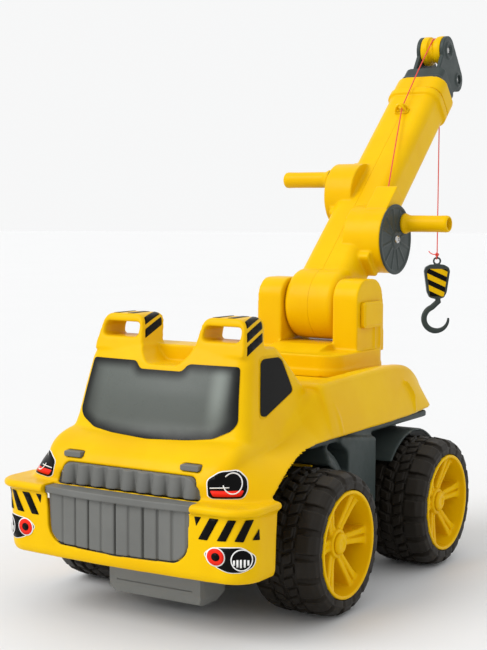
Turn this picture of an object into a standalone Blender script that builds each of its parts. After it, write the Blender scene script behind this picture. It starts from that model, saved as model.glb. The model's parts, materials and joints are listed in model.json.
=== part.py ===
"""Toy crane truck: a ride-on size plastic truck with a slewing, luffing and telescoping crane.

The truck faces -Y, its left side is +X and the floor is Z = 0. Everything is modelled in truck
coordinates, with Y = 0 on the front axle, under one root empty that moves the model so that the
world origin is the bottom centre of its box. All sizes are in metres.
"""
import math

import bmesh
import bpy
from mathutils import Matrix, Vector

# ------------------------------------------------------------------ fits
GAP = 0.0003            # clearance between pieces that touch
RUN = 0.0005            # clearance between pieces that slide or turn
WALL = 0.0035           # wall of the body shell
BOOM_WALL = 0.0028      # wall of the boom halves

# ------------------------------------------------------------------ wheels
TYRE_RADIUS = 0.079
TYRE_WIDTH = 0.082
TYRE_WALL = 0.0030                # wall round the hollow that opens towards the chassis
WHEELBASE = 0.2644
WHEEL_FACE_X = 0.1789   # outer face of every wheel
RIM_RADIUS = 0.0591
RIM_WALL = 0.0036
HUB_RADIUS = 0.016
HUB_SET_BACK = 0.012    # the hub sits this far inside the rim's face
HUB_INNER_X = -0.020
SPOKES = 6
SPOKE_WIDTH = 0.011
AXLE_RADIUS = 0.003
HUB_CAP_RADIUS = 0.012
HUB_CAP_THICKNESS = 0.0030

# ------------------------------------------------------------------ body shell
BUMPER_FRONT_Y = -0.184
BUMPER_BACK_Y = -0.118
BUMPER_HALF = 0.159
BUMPER_LOW_Z = 0.068
BRIM_Z = 0.137
BRIM_HEIGHT = 0.009
BRIM_OVERHANG = 0.005
RIM_Z = 0.186           # lower edge of the shell along the sides
DECK_Z = 0.238          # floor of the rear deck, where the crane turns
DECK_HALF = 0.105
DECK_FRONT_Y = 0.050
CARGO_MARGIN = 0.005               # the cargo floor is sunk a little inside this margin
CARGO_REAR_Y = 0.148
CARGO_DEPTH = 0.0010
BODY_REAR_Y = 0.320
ROOF_Z = 0.291
GRILLE_DEPTH = 0.0018
PANE_DEPTH = 0.0016
BAR_INNER_X = 0.034
BAR_OUTER_X = 0.098
BAR_TOP_Z = 0.3245
BAR_FRONT_Y = -0.087
BAR_BACK_Y = -0.045
BAR_LEAN = 0.011        # how far the bars' front face leans back at the top
BAR_THICKNESS = 0.009
BAR_SILL = 0.0075                 # height of the opening above the roof

# ------------------------------------------------------------------ chassis
CHASSIS_HALF = 0.086
CHASSIS_FRONT_Y = -0.1045
CHASSIS_REAR_Y = 0.312
CHASSIS_LOW_Z = 0.048
PLATE_HALF = 0.128
PLATE_THICKNESS = 0.004
POD_HALF = 0.136
POD_FRONT_Y = 0.088
POD_REAR_Y = 0.160
POD_LOW_Z = 0.032
STEP_HALF = 0.060
STEP_FRONT_Y = -0.112
STEP_BACK_Y = -0.0625
STEP_LOW_Z = 0.016
SCREW_HEAD_RADIUS = 0.0045
SCREW_HEAD_HEIGHT = 0.0025
SCREW_SHANK_RADIUS = 0.0018
SCREW_LENGTH = 0.014

# ------------------------------------------------------------------ crane base
SLEW_Y = 0.2265
BASE_HALF_X = 0.077
BASE_HALF_Y = 0.072
BASE_HEIGHT = 0.0265
BASE_CORNER = 0.024
SPIGOT_RADIUS = 0.030
SPIGOT_WALL = 0.004
RETAINER_RADIUS = 0.038
RETAINER_THICKNESS = 0.004
EAR_OUTER_X = 0.072
EAR_WALL = 0.0035
EAR_FRONT_Y = 0.2216
EAR_BACK_Y = 0.2985
EAR_TOP_Z = 0.3535
PIVOT_Y = 0.2689
PIVOT_Z = 0.3192
PIVOT_PIN_RADIUS = 0.007
COVER_SIZE_Y = 0.052
COVER_SIZE_Z = 0.033
COVER_THICKNESS = 0.0055
COVER_OFFSET_Y = -0.012
COVER_OFFSET_Z = -0.010

# ------------------------------------------------------------------ boom, in its own frame
# u runs along the boom from its pivot, v is square to it and points up and forward
BOOM_ANGLE = 43.0
BOOM_HALF = 0.0366
BOOM_LOW_V = -0.022
BOOM_HIGH_V = 0.0365
BOOM_CORNER = 0.016
BOOM_END_U = 0.395
BOOM_FLANGE = 0.004
BOOM_FLANGE_LENGTH = 0.012
KNUCKLE_RADIUS = 0.0453
KNUCKLE_CORNER = 0.010
KNUCKLE_BOSS = 0.013

HOUSING_RADIUS = 0.0445
HOUSING_WALL = 0.003
HOUSING_INNER_X = 0.033
CRANK_V = 0.0106
CRANK_THROW = 0.0304
CRANK_DISC_THICKNESS = 0.0028
WINCH_DISC_RADIUS = 0.0464
TELESCOPE_DISC_RADIUS = 0.0410
SHAFT_RADIUS = 0.005
HANDLE_RADIUS = 0.011
HANDLE_FLARE = 0.0135
HANDLE_BORE = 0.0075
HANDLE_BORE_DEPTH = 0.050

WINCH_U = 0.1106
WINCH_FACE_X = 0.067    # outer face of the winch disc
WINCH_HANDLE_LENGTH = 0.065
SPOOL_CORE = 0.018
SPOOL_FLANGE = 0.038
WINDING_RADIUS = 0.030
CHUTE_END_U = 0.165
CHUTE_HIGH_V = 0.056
CHUTE_LOW_V = 0.031
CHUTE_INNER_X = 0.032
SLOT_LOW_X = 0.0375
SLOT_HIGH_X = 0.0530
SLOT_LOW_V = 0.0375
SLOT_HIGH_V = 0.0500

EXTEND_U = 0.195
EXTEND_FACE_X = 0.0516
EXTEND_HANDLE_LENGTH = 0.072
GEAR_MODULE = 0.002
PINION_TEETH = 12
PINION_WIDTH = 0.011
BOOM_TRAVEL = 0.120

INNER_CLEARANCE = 0.0008
INNER_WALL = 0.0025
INNER_TAIL_U = 0.2125
INNER_FLANGE_START_U = 0.3983
INNER_END_U = 0.4230
INNER_FLANGE_HALF = 0.0395
INNER_FLANGE_LOW_V = -0.026
INNER_FLANGE_HIGH_V = 0.0370

HEAD_PLATE_HALF = 0.0310
HEAD_PLATE_LOW_V = -0.022
HEAD_PLATE_HIGH_V = 0.034
HEAD_PLATE_END_U = 0.447
CHEEK_INNER_X = 0.0155
CHEEK_THICKNESS = 0.006
SHEAVE_U = 0.4925
SHEAVE_V = 0.030
SHEAVE_RADIUS = 0.0215
GROOVE_RADIUS = 0.0170
CHEEK_TOP_RADIUS = 0.021
LOWER_PIN_U = 0.4915
LOWER_PIN_V = -0.0235
CHEEK_LOW_RADIUS = 0.018
HEAD_PIN_RADIUS = 0.003

GUIDE_U = 0.345
GUIDE_ARCH_RADIUS = 0.0078
GUIDE_WIRE_RADIUS = 0.0020

# ------------------------------------------------------------------ cord and hook
CORD_RADIUS = 0.0008
CORD_SPACING = 0.0048   # between the points of a cord's centre line
FALL_LENGTH = 0.303     # from the sheave's rear tangent to the knot
KNOT_RADIUS = 0.0026
RING_RADIUS = 0.0050
RING_WIRE = 0.0014
HOOK_TURN = 31.7        # how far the hook's flat side is turned from the truck's front
BLOCK_HALF_TOP = 0.0195
BLOCK_HALF_LOW = 0.0130
BLOCK_HEIGHT = 0.052
BLOCK_THICKNESS = 0.010
STRIPE_THICKNESS = 0.0006
STRIPE_MARGIN = 0.0036
HOOK_RADIUS = 0.0185
HOOK_WIRE = 0.0042

ROUND = 24              # segments of a large round piece
SMALL_ROUND = 12        # segments of a small round piece

YELLOW = (0.93, 0.55, 0.005)
DARK_GREY = (0.060, 0.075, 0.083)
MID_GREY = (0.16, 0.16, 0.15)
TYRE_BLACK = (0.018, 0.015, 0.013)
STEEL = (0.55, 0.55, 0.56)
GLASS_GREY = (0.10, 0.11, 0.10)
WINDOW_BLACK = (0.006, 0.006, 0.007)
CORD_RED = (0.55, 0.03, 0.01)


# ================================================================== building tools
def clear_scene():
    """Remove every object that the file starts with."""
    for item in list(bpy.data.objects):
        bpy.data.objects.remove(item, do_unlink=True)


def material(name, colour, roughness, metallic=0.0):
    """Return a new Principled material."""
    made = bpy.data.materials.new(name)
    made.use_nodes = True
    shader = made.node_tree.nodes["Principled BSDF"]
    shader.inputs["Base Color"].default_value = (*colour, 1.0)
    shader.inputs["Roughness"].default_value = roughness
    shader.inputs["Metallic"].default_value = metallic
    return made


def empty(name, parent=None, location=(0, 0, 0), tilt=0.0, turn=0.0):
    """Return a new empty, turned about X by tilt and about Z by turn, in degrees."""
    made = bpy.data.objects.new(name, None)
    bpy.context.collection.objects.link(made)
    made.parent = parent
    made.location = location
    made.rotation_euler = (math.radians(tilt), 0, math.radians(turn))
    return made


def mesh_object(bm, name="shape"):
    """Turn a bmesh into an object with its faces pointing out."""
    bmesh.ops.remove_doubles(bm, verts=bm.verts, dist=1e-6)
    bmesh.ops.recalc_face_normals(bm, faces=bm.faces)
    mesh = bpy.data.meshes.new(name)
    bm.to_mesh(mesh)
    bm.free()
    made = bpy.data.objects.new(name, mesh)
    bpy.context.collection.objects.link(made)
    return made


def loft(loops):
    """Return a closed solid through loops with equal numbers of points."""
    bm = bmesh.new()
    rows = [[bm.verts.new(point) for point in loop] for loop in loops]
    count = len(rows[0])
    for low, high in zip(rows, rows[1:]):
        for i in range(count):
            j = (i + 1) % count
            if len(rows) == 2:
                bm.faces.new((low[i], low[j], high[j], high[i]))
            else:
                bm.faces.new((low[i], low[j], high[j]))
                bm.faces.new((low[i], high[j], high[i]))
    bm.faces.new(rows[0][::-1])
    bm.faces.new(rows[-1])
    return mesh_object(bm)


def prism(outline, axis, low, high):
    """Extrude a closed 2D outline along an axis, from low to high."""
    def place(point, at):
        a, b = point
        return {"X": (at, a, b), "Y": (a, at, b), "Z": (a, b, at)}[axis]
    return loft([[place(p, low) for p in outline], [place(p, high) for p in outline]])


def box(x0, x1, y0, y1, z0, z1):
    """Return a rectangular block."""
    return prism([(x0, y0), (x1, y0), (x1, y1), (x0, y1)], "Z", z0, z1)


def lathe(profile, segments=ROUND, centre=(0.0, 0.0)):
    """Turn a closed outline of (x, radius) points around an axis along X."""
    bm = bmesh.new()
    rings = []
    for x, radius in profile:
        if radius < 1e-7:
            rings.append([bm.verts.new((x, centre[0], centre[1]))] * segments)
            continue
        ring = []
        for i in range(segments):
            a = 2 * math.pi * i / segments
            ring.append(bm.verts.new((x, centre[0] + radius * math.cos(a),
                                      centre[1] + radius * math.sin(a))))
        rings.append(ring)
    for ring, after in zip(rings, rings[1:] + rings[:1]):
        for i in range(segments):
            j = (i + 1) % segments
            corners = []
            for vertex in (ring[i], ring[j], after[j], after[i]):
                if vertex not in corners:
                    corners.append(vertex)
            if len(corners) > 2:
                bm.faces.new(corners)
    return mesh_object(bm)


def rod(x0, x1, radius, centre=(0.0, 0.0), segments=ROUND):
    """Return a solid cylinder along X."""
    return lathe([(x0, 0), (x0, radius), (x1, radius), (x1, 0)], segments, centre)


def post(z0, z1, radius, centre=(0.0, 0.0), segments=ROUND):
    """Return a solid cylinder along Z."""
    return prism(circle(centre, radius, segments), "Z", z0, z1)


def circle(centre, radius, segments=ROUND):
    """Return the points of a circle."""
    turns = [2 * math.pi * i / segments for i in range(segments)]
    return [(centre[0] + radius * math.cos(a), centre[1] + radius * math.sin(a)) for a in turns]


def arc(centre, radius, start, end, steps):
    """Return points along an arc, with its angles in degrees."""
    angles = [math.radians(start + (end - start) * i / steps) for i in range(steps + 1)]
    return [(centre[0] + radius * math.cos(a), centre[1] + radius * math.sin(a)) for a in angles]


def rounded(x0, x1, y0, y1, radius, steps=3):
    """Return the outline of a rounded rectangle."""
    return (arc((x1 - radius, y1 - radius), radius, 0, 90, steps)
            + arc((x0 + radius, y1 - radius), radius, 90, 180, steps)
            + arc((x0 + radius, y0 + radius), radius, 180, 270, steps)
            + arc((x1 - radius, y0 + radius), radius, 270, 360, steps))


def weld(mesh):
    """Merge points that a cut left on top of each other."""
    bm = bmesh.new()
    bm.from_mesh(mesh)
    bmesh.ops.remove_doubles(bm, verts=bm.verts, dist=3e-6)
    bmesh.ops.dissolve_degenerate(bm, edges=bm.edges, dist=1e-6)
    bm.to_mesh(mesh)
    bm.free()


def combine(base, tools, operation):
    """Apply exact Booleans to base and remove the tools."""
    for tool in tools:
        modifier = base.modifiers.new("cut", "BOOLEAN")
        modifier.operation = operation
        modifier.solver = "EXACT"
        modifier.object = tool
        graph = bpy.context.evaluated_depsgraph_get()
        shaped = bpy.data.meshes.new_from_object(base.evaluated_get(graph))
        base.modifiers.clear()
        weld(shaped)
        base.data = shaped
        bpy.data.objects.remove(tool, do_unlink=True)
    return base


def cut(base, *tools):
    """Take the tools away from base."""
    return combine(base, tools, "DIFFERENCE")


def fuse(base, *tools):
    """Join the tools to base."""
    return combine(base, tools, "UNION")


def keep(base, *tools):
    """Keep only what base shares with the tools."""
    return combine(base, tools, "INTERSECT")


def copy_of(item):
    """Return a copy of an object with its own mesh."""
    made = item.copy()
    made.data = item.data.copy()
    bpy.context.collection.objects.link(made)
    return made


def mirrored(item):
    """Return a copy of an object mirrored in the plane X = 0."""
    made = copy_of(item)
    made.data.transform(Matrix.Scale(-1, 4, (1, 0, 0)))
    made.data.flip_normals()
    return made


def place(item, name, parent, skin, location=(0, 0, 0), sharp=35):
    """Name a finished piece, give it its material and hang it on its parent."""
    item.name = name
    item.data.name = name
    item.parent = parent
    item.location = location
    item.data.materials.clear()
    item.data.materials.append(skin)
    item.data.shade_smooth()
    item.data.set_sharp_from_angle(angle=math.radians(sharp))
    return item


# ================================================================== body shell
def body_loop(y, half_low, half_high, low, high, radius, inset=0.0, drop=0.0):
    """Return one cross-section of the body: a trapezoid with rounded upper corners."""
    half_low -= inset
    half_high -= inset
    high -= inset
    low -= drop
    radius = max(radius - inset, 0.001)
    side = [(half_high, high - radius)]
    corner = arc((half_high - radius, high - radius), radius, 0, 90, 3)
    right = [(half_low, low)] + side + corner[1:]
    left = [(-x, z) for x, z in reversed(right)]
    return [(x, y, z) for x, z in right + left]


def arch_z(y):
    """Return the height of the shell's lower edge over the front wheels."""
    if y >= 0:
        return RIM_Z
    radius = 0.21
    return RIM_Z - radius + math.sqrt(radius * radius - y * y)


def body_stations():
    """List the body's cross-sections from the nose to the tail."""
    front = BUMPER_FRONT_Y
    brim = BRIM_Z
    return [
        (front + 0.024, 0.118, 0.098, brim, 0.162, 0.008),
        (front + 0.032, 0.140, 0.112, brim, 0.178, 0.012),
        (front + 0.046, 0.150, 0.120, brim, 0.190, 0.014),
        (BUMPER_BACK_Y, 0.155, 0.121, arch_z(BUMPER_BACK_Y), 0.199, 0.016),
        (-0.085, 0.152, 0.119, arch_z(-0.085), 0.205, 0.018),
        (-0.040, 0.147, 0.116, arch_z(-0.040), 0.213, 0.020),
        (0.000, 0.143, 0.118, RIM_Z, 0.223, 0.016),
        (DECK_FRONT_Y - 0.018, 0.141, 0.123, RIM_Z, 0.240, 0.010),
        (DECK_FRONT_Y - 0.010, 0.141, 0.126, RIM_Z, DECK_Z + 0.009, 0.008),
        (0.200, 0.138, 0.122, RIM_Z, DECK_Z + 0.012, 0.008),
        (BODY_REAR_Y - 0.050, 0.135, 0.119, RIM_Z + 0.001, DECK_Z + 0.008, 0.008),
        (BODY_REAR_Y - 0.016, 0.132, 0.117, RIM_Z + 0.002, DECK_Z - 0.006, 0.008),
        (BODY_REAR_Y, 0.130, 0.116, RIM_Z + 0.003, DECK_Z - 0.023, 0.008),
    ]


def main_body(inset=0.0, drop=0.0):
    """Return the nose, flanks and rear deck as one lofted solid."""
    stations = body_stations()
    loops = []
    for number, (y, half_low, half_high, low, high, radius) in enumerate(stations):
        if number == 0:
            y += inset
        if number == len(stations) - 1:
            y -= inset
        loops.append(body_loop(y, half_low, half_high, low, high, radius, inset, drop))
    return loft(loops)


def plan_loop(z, half, front, back, bulge, front_corner, back_corner, inset=0.0):
    """Return a level outline with a curved front edge and rounded corners."""
    half -= inset
    front += inset
    back -= inset
    steps = 6
    reach = half - front_corner
    edge = []
    for i in range(steps + 1):
        x = -reach + 2 * reach * i / steps
        edge.append((x, front - bulge * (1 - (x / reach) ** 2)))
    right_front = arc((reach, front + front_corner), front_corner, -90, 0, 3)[1:]
    right_back = arc((half - back_corner, back - back_corner), back_corner, 0, 90, 2)
    left_back = arc((back_corner - half, back - back_corner), back_corner, 90, 180, 2)
    left_front = arc((-reach, front + front_corner), front_corner, 180, 270, 3)[:-1]
    outline = edge + right_front + right_back + left_back + left_front
    return [(x, y, z) for x, y in outline]


def cab(inset=0.0, drop=0.0):
    """Return the cab above the nose as a lofted solid."""
    levels = [
        (0.192 - drop, 0.116, -0.116, 0.040, 0.009),
        (0.212, 0.1125, -0.1085, 0.038, 0.008),
        (0.243, 0.1085, -0.1010, 0.030, 0.007),
        (0.276 - inset, 0.1045, -0.0915, -0.004, 0.005),
        (ROOF_Z - inset, 0.1000, -0.0845, -0.017, 0.003),
    ]
    return loft([plan_loop(z, half, front, back, bulge, 0.016, 0.012, inset)
                 for z, half, front, back, bulge in levels])


def bumper(inset=0.0, drop=0.0):
    """Return the bumper as a lofted solid, without its brim."""
    back = BUMPER_BACK_Y + inset + (0.001 if inset else 0)
    levels = [
        (BUMPER_LOW_Z - drop, BUMPER_HALF - 0.004, BUMPER_FRONT_Y + 0.008),
        (BUMPER_LOW_Z + 0.006, BUMPER_HALF - 0.002, BUMPER_FRONT_Y + 0.006),
        (BRIM_Z + BRIM_HEIGHT / 2, BUMPER_HALF, BUMPER_FRONT_Y + 0.005),
    ]
    return loft([plan_loop(z, half, front, back, 0.0045, 0.030, 0.002, inset)
                 for z, half, front in levels])


def brim():
    """Return the lip that runs round the top of the bumper."""
    levels = [
        (BRIM_Z, BRIM_OVERHANG - 0.003),
        (BRIM_Z + 0.003, BRIM_OVERHANG),
        (BRIM_Z + BRIM_HEIGHT - 0.003, BRIM_OVERHANG),
        (BRIM_Z + BRIM_HEIGHT, BRIM_OVERHANG - 0.004),
    ]
    front = BUMPER_FRONT_Y + 0.005
    return loft([plan_loop(z, BUMPER_HALF + out, front - out, BUMPER_BACK_Y, 0.0045, 0.030, 0.002)
                 for z, out in levels])


def bar_solid():
    """Return one of the two roof bars, an arch seen from the front that leans back."""
    rise = BAR_TOP_Z - ROOF_Z
    foot = ROOF_Z - 0.006

    def arch(inset, low):
        x0 = BAR_INNER_X + inset
        x1 = BAR_OUTER_X - inset
        top = BAR_TOP_Z - inset
        slant = 0.009
        radius = 0.012 - inset / 2
        return ([(x0, low), (x1, low), (x1, low + 0.008)]
                + arc((x1 - slant - radius + 0.004, top - radius), radius, 20, 90, 3)
                + arc((x0 + slant + radius - 0.004, top - radius), radius, 90, 160, 3)
                + [(x0, low + 0.008)])

    def lean(x, y, z):
        return (x, y + BAR_LEAN * (z - ROOF_Z) / rise, z)

    outer = arch(0.0, foot)
    inner = arch(BAR_THICKNESS, ROOF_Z + BAR_SILL)
    solid = loft([[lean(x, y, z) for x, z in outer] for y in (BAR_FRONT_Y, BAR_BACK_Y)])
    hole = loft([[lean(x, y, z) for x, z in inner] for y in (BAR_FRONT_Y - 0.02, BAR_BACK_Y + 0.02)])
    return cut(solid, hole)


def scoop(grow=0.0):
    """Return the hollow between the roof bars, open to the front and the top."""
    floor = 0.2725 - grow
    low_half = 0.020 + grow
    high_half = BAR_INNER_X - 0.002 + grow
    outline = [(-low_half, floor), (low_half, floor), (high_half, floor + 0.014),
               (high_half, ROOF_Z + 0.02), (-high_half, ROOF_Z + 0.02), (-high_half, floor + 0.014)]
    return prism(outline, "Y", -0.125 - grow, -0.058 + grow)


def windshield_outline(grow=0.0):
    """Return the windshield seen from the front, with its notch for the scoop."""
    low = 0.203 - grow
    top = 0.2765 + grow
    half = 0.1035 + grow
    half_top = 0.0955 + grow
    notch = 0.0275 - grow
    lower = [(-half + 0.004, low + 0.012), (-half * 0.82, low + 0.001), (-half * 0.5, low - 0.004),
             (0, low - 0.006), (half * 0.5, low - 0.004), (half * 0.82, low + 0.001),
             (half - 0.004, low + 0.012)]
    upper = [(half_top, top), (notch + 0.006, top), (notch, top - 0.007),
             (-notch, top - 0.007), (-notch - 0.006, top), (-half_top, top)]
    return lower + upper


def side_window_outline(grow=0.0):
    """Return the side window seen from the side, as (y, z) points."""
    centre = Vector((-0.040, 0.247))
    corners = [(-0.062, 0.221), (-0.052, 0.2195), (0.000, 0.243), (0.001, 0.250),
               (-0.022, 0.279), (-0.030, 0.2805), (-0.061, 0.277), (-0.066, 0.271)]
    grown = []
    for corner in corners:
        spoke = Vector(corner) - centre
        grown.append(tuple(centre + spoke * (1 + grow / spoke.length)))
    return grown


def lower_grille_outline(grow=0.0):
    """Return the lower grille seen from the front."""
    half = 0.0915 + grow
    top = BRIM_Z + 0.0015 + grow
    low = 0.0815 - grow
    side = [(half, top), (half - 0.002, 0.108)]
    corner = arc((half - 0.024, low + 0.024), 0.022, -5, -80, 3)
    right = side + corner
    left = [(-x, z) for x, z in reversed(right)]
    return right + [(0.0, low)] + left


def upper_grille_outline(grow=0.0):
    """Return the upper grille seen from the front."""
    low = BRIM_Z + BRIM_HEIGHT - 0.001 - grow
    top = 0.1685 + grow
    right = [(0.092 + grow, low), (0.089 + grow, low + 0.012)]
    right += arc((0.077 + grow / 2, top - 0.009), 0.009, 0, 90, 2)
    left = [(-x, z) for x, z in reversed(right)]
    return right + left


def skin_panel(surface, outline, axis, low, high, depth, lift):
    """Return the panel that a prism cuts from a surface, from lift above it to depth below it."""
    panel = surface(-lift)
    core = surface(depth)
    return cut(keep(panel, prism(outline, axis, low, high)), core)


def build_body_shell():
    """Build the yellow shell: bumper, nose, cab, roof bars and rear deck in one moulding."""
    shell = fuse(main_body(), bumper(), brim(), cab())
    cavity = fuse(main_body(WALL, 0.03), cab(WALL, 0.0), bumper(WALL, 0.03))
    cavity = cut(cavity, scoop(WALL),
                 box(-DECK_HALF - WALL, DECK_HALF + WALL, DECK_FRONT_Y - WALL, 0.4,
                     DECK_Z - WALL, 0.3))
    shell = cut(shell, cavity, scoop())
    shell = fuse(shell, bar_solid(), mirrored_bar())
    deck = prism(rounded(-DECK_HALF, DECK_HALF, DECK_FRONT_Y, 0.45, 0.012), "Z", DECK_Z, 0.3)
    hole = post(DECK_Z - 0.02, DECK_Z + 0.01, SPIGOT_RADIUS + RUN, (0, SLEW_Y))
    cargo = prism(rounded(-DECK_HALF + CARGO_MARGIN, DECK_HALF - CARGO_MARGIN,
                          DECK_FRONT_Y + CARGO_MARGIN, CARGO_REAR_Y, 0.010),
                  "Z", DECK_Z - CARGO_DEPTH, 0.3)
    shell = cut(shell, deck, cargo, hole)
    recess = skin_panel(cab, windshield_outline(GAP), "Y", -0.2, -0.05, PANE_DEPTH + GAP, 0.004)
    shell = cut(shell, recess)
    for side in (1, -1):
        recess = skin_panel(cab, side_window_outline(GAP), "X", 0.05 * side, 0.2 * side,
                            PANE_DEPTH + GAP, 0.004)
        shell = cut(shell, recess)
    lower = skin_panel(bumper, lower_grille_outline(GAP), "Y", -0.25, -0.13,
                       GRILLE_DEPTH + GAP, 0.012)
    nose = prism(upper_grille_outline(GAP), "Y", -0.25, BUMPER_FRONT_Y + 0.024 + 0.0065)
    shelf = box(-0.0950, 0.0950, -0.25, BUMPER_FRONT_Y + 0.0205,
                BRIM_Z - GAP, BRIM_Z + BRIM_HEIGHT + 0.02)
    return cut(shell, lower, nose, shelf, *[indicator(side, GAP) for side in (1, -1)])


def mirrored_bar():
    """Return the roof bar of the other side."""
    source = bar_solid()
    made = mirrored(source)
    bpy.data.objects.remove(source, do_unlink=True)
    return made


def indicator(side, grow=0.0):
    """Return one of the two small blocks set into the nose."""
    x = 0.0757 * side
    half = 0.0115 + grow
    block = prism(rounded(x - half, x + half, 0.1737 - grow, 0.1800 + grow, 0.0015, 1),
                  "Y", BUMPER_FRONT_Y + 0.0270 - (0.01 if grow else 0), BUMPER_FRONT_Y + 0.0375 + grow)
    return block


def build_grilles():
    """Build the two grey grille mouldings: the lower one carries the shelf."""
    lower = skin_panel(bumper, lower_grille_outline(), "Y", -0.25, -0.13, GRILLE_DEPTH, 0.0012)
    shelf_low = BRIM_Z
    shelf_high = BRIM_Z + BRIM_HEIGHT - 0.0015
    front = BUMPER_FRONT_Y
    outline = [(-0.0945, front + 0.0020), (-0.060, front - 0.0015), (0.0, front - 0.0030),
               (0.060, front - 0.0015), (0.0945, front + 0.0020), (0.0945, front + 0.0202),
               (-0.0945, front + 0.0202)]
    lower = fuse(lower, prism(outline, "Z", shelf_low, shelf_high))
    upper_low = front + 0.024 + 0.0060
    upper = prism(upper_grille_outline(), "Y", front + 0.0212, upper_low)
    slope = prism([(front - 0.01, BRIM_Z), (front + 0.0212, BRIM_Z), (front + 0.0235, 0.150),
                   (front + 0.0275, 0.172), (front - 0.01, 0.172)], "X", -0.2, 0.2)
    return lower, cut(upper, slope)


# ================================================================== chassis and wheels
def build_chassis():
    """Build the dark frame: a tub open below, a top plate and two pods between the wheels."""
    top = RIM_Z - GAP
    frame = box(-CHASSIS_HALF, CHASSIS_HALF, CHASSIS_FRONT_Y, CHASSIS_REAR_Y, CHASSIS_LOW_Z, top)
    plate = box(-PLATE_HALF, PLATE_HALF, 0.004, CHASSIS_REAR_Y, top - PLATE_THICKNESS, top)
    frame = fuse(frame, plate)
    corner = 0.022
    profile = ([(POD_FRONT_Y, POD_LOW_Z), (POD_REAR_Y, POD_LOW_Z)]
               + arc((POD_REAR_Y - corner, top - 0.012 - corner), corner, 0, 90, 3)
               + [(POD_FRONT_Y - 0.020, top - 0.002), (POD_FRONT_Y - 0.020, top - 0.010),
                  (POD_FRONT_Y, top - 0.022)])
    for side in (1, -1):
        frame = fuse(frame, prism(profile, "X", (CHASSIS_HALF - 0.004) * side, POD_HALF * side))
    wall = WALL
    hollow = box(-CHASSIS_HALF + wall, CHASSIS_HALF - wall, CHASSIS_FRONT_Y + wall,
                 CHASSIS_REAR_Y - wall, CHASSIS_LOW_Z - 0.03, top - wall)
    frame = cut(frame, hollow)
    for side in (1, -1):
        low = min(CHASSIS_HALF * side, (POD_HALF - wall) * side)
        high = max(CHASSIS_HALF * side, (POD_HALF - wall) * side)
        frame = cut(frame, box(low, high, POD_FRONT_Y + wall, POD_REAR_Y - wall,
                               POD_LOW_Z - 0.01, top - 0.040))
    tower = post(top - 0.020, top, RETAINER_RADIUS + 0.006, (0, SLEW_Y))
    well = post(top - 0.030, top + 0.01, RETAINER_RADIUS + 0.003, (0, SLEW_Y))
    frame = cut(fuse(frame, tower), well)
    for y in (0.0, WHEELBASE):
        frame = cut(frame, rod(-0.2, 0.2, AXLE_RADIUS + GAP, (y, TYRE_RADIUS), SMALL_ROUND))
    for x, y in screw_places():
        frame = cut(frame, post(0.15, 0.2, SCREW_SHANK_RADIUS + GAP, (x, y), SMALL_ROUND))
    return frame


def screw_places():
    """List where screws hold the shell's deck posts to the chassis."""
    return [(-0.055, 0.060), (0.055, 0.060)]


def body_screw():
    """Return a screw that points up, with its head at the bottom."""
    head = post(-SCREW_HEAD_HEIGHT, 0, SCREW_HEAD_RADIUS, segments=SMALL_ROUND)
    shank = post(-0.0005, SCREW_LENGTH, SCREW_SHANK_RADIUS, segments=SMALL_ROUND)
    return fuse(head, shank)


def build_step():
    """Build the grey block that hangs below the bumper."""
    low = STEP_LOW_Z
    high = CHASSIS_LOW_Z - GAP
    chamfer = 0.008
    outline = [(STEP_FRONT_Y, high), (STEP_FRONT_Y, low + 0.013), (STEP_FRONT_Y + 0.004, low + 0.003),
               (STEP_FRONT_Y + 0.014, low), (STEP_BACK_Y - chamfer, low), (STEP_BACK_Y, low + chamfer),
               (STEP_BACK_Y, high)]
    block = prism(outline, "X", -STEP_HALF, STEP_HALF)
    wall = 0.003
    hollow = box(-STEP_HALF + wall, STEP_HALF - wall, STEP_FRONT_Y + wall + 0.002,
                 STEP_BACK_Y - wall, low + chamfer, high + 0.01)
    return cut(block, hollow)


def tyre_profile():
    """Return the tyre's outline: a crowned tread, round shoulders and a hollow open inboard."""
    half = TYRE_WIDTH / 2
    bore = RIM_RADIUS + GAP
    wall = TYRE_WALL
    outer = [(half, bore), (half, TYRE_RADIUS - 0.014), (half - 0.003, TYRE_RADIUS - 0.008),
             (half - 0.012, TYRE_RADIUS - 0.0025)]
    inner = [(-x, r) for x, r in reversed(outer)]
    groove = [(-half, bore + wall), (half - wall, bore + wall), (half - wall, TYRE_RADIUS - 0.016),
              (half - 0.014, TYRE_RADIUS - 0.0025 - wall), (-half + 0.014, TYRE_RADIUS - 0.0025 - wall),
              (-half, TYRE_RADIUS - 0.016)]
    return outer + [(0.0, TYRE_RADIUS)] + inner[:3] + groove[::-1] + [(-half, bore)]


def build_rim():
    """Build a rim with its web, its hub and its spokes."""
    half = TYRE_WIDTH / 2
    inside = RIM_RADIUS - RIM_WALL
    bore = AXLE_RADIUS + GAP
    hub_face = half - HUB_SET_BACK
    web = 0.004
    profile = [(HUB_INNER_X, bore), (HUB_INNER_X, HUB_RADIUS), (-web, HUB_RADIUS), (-web, inside),
               (-half, inside), (-half, RIM_RADIUS), (half, RIM_RADIUS), (half, inside + 0.001),
               (0.0, inside - 0.001), (0.0, HUB_RADIUS), (hub_face, HUB_RADIUS), (hub_face, bore)]
    rim = lathe(profile)
    inner_radius = HUB_RADIUS - 0.002
    outer_radius = inside + 0.0002
    for i in range(SPOKES):
        outline = [(inner_radius, -web / 2), (outer_radius - 0.0006, -web / 2),
                   (outer_radius, half - 0.003), (inner_radius, hub_face - 0.001)]
        spoke = prism(outline, "X", -SPOKE_WIDTH / 2, SPOKE_WIDTH / 2)
        spoke.data.transform(Matrix(((0, 0, 1, 0), (1, 0, 0, 0), (0, 1, 0, 0), (0, 0, 0, 1))))
        spoke.data.transform(Matrix.Rotation(math.radians(360 / SPOKES * i + 90), 4, "X"))
        rim = fuse(rim, spoke)
    return rim


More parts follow.
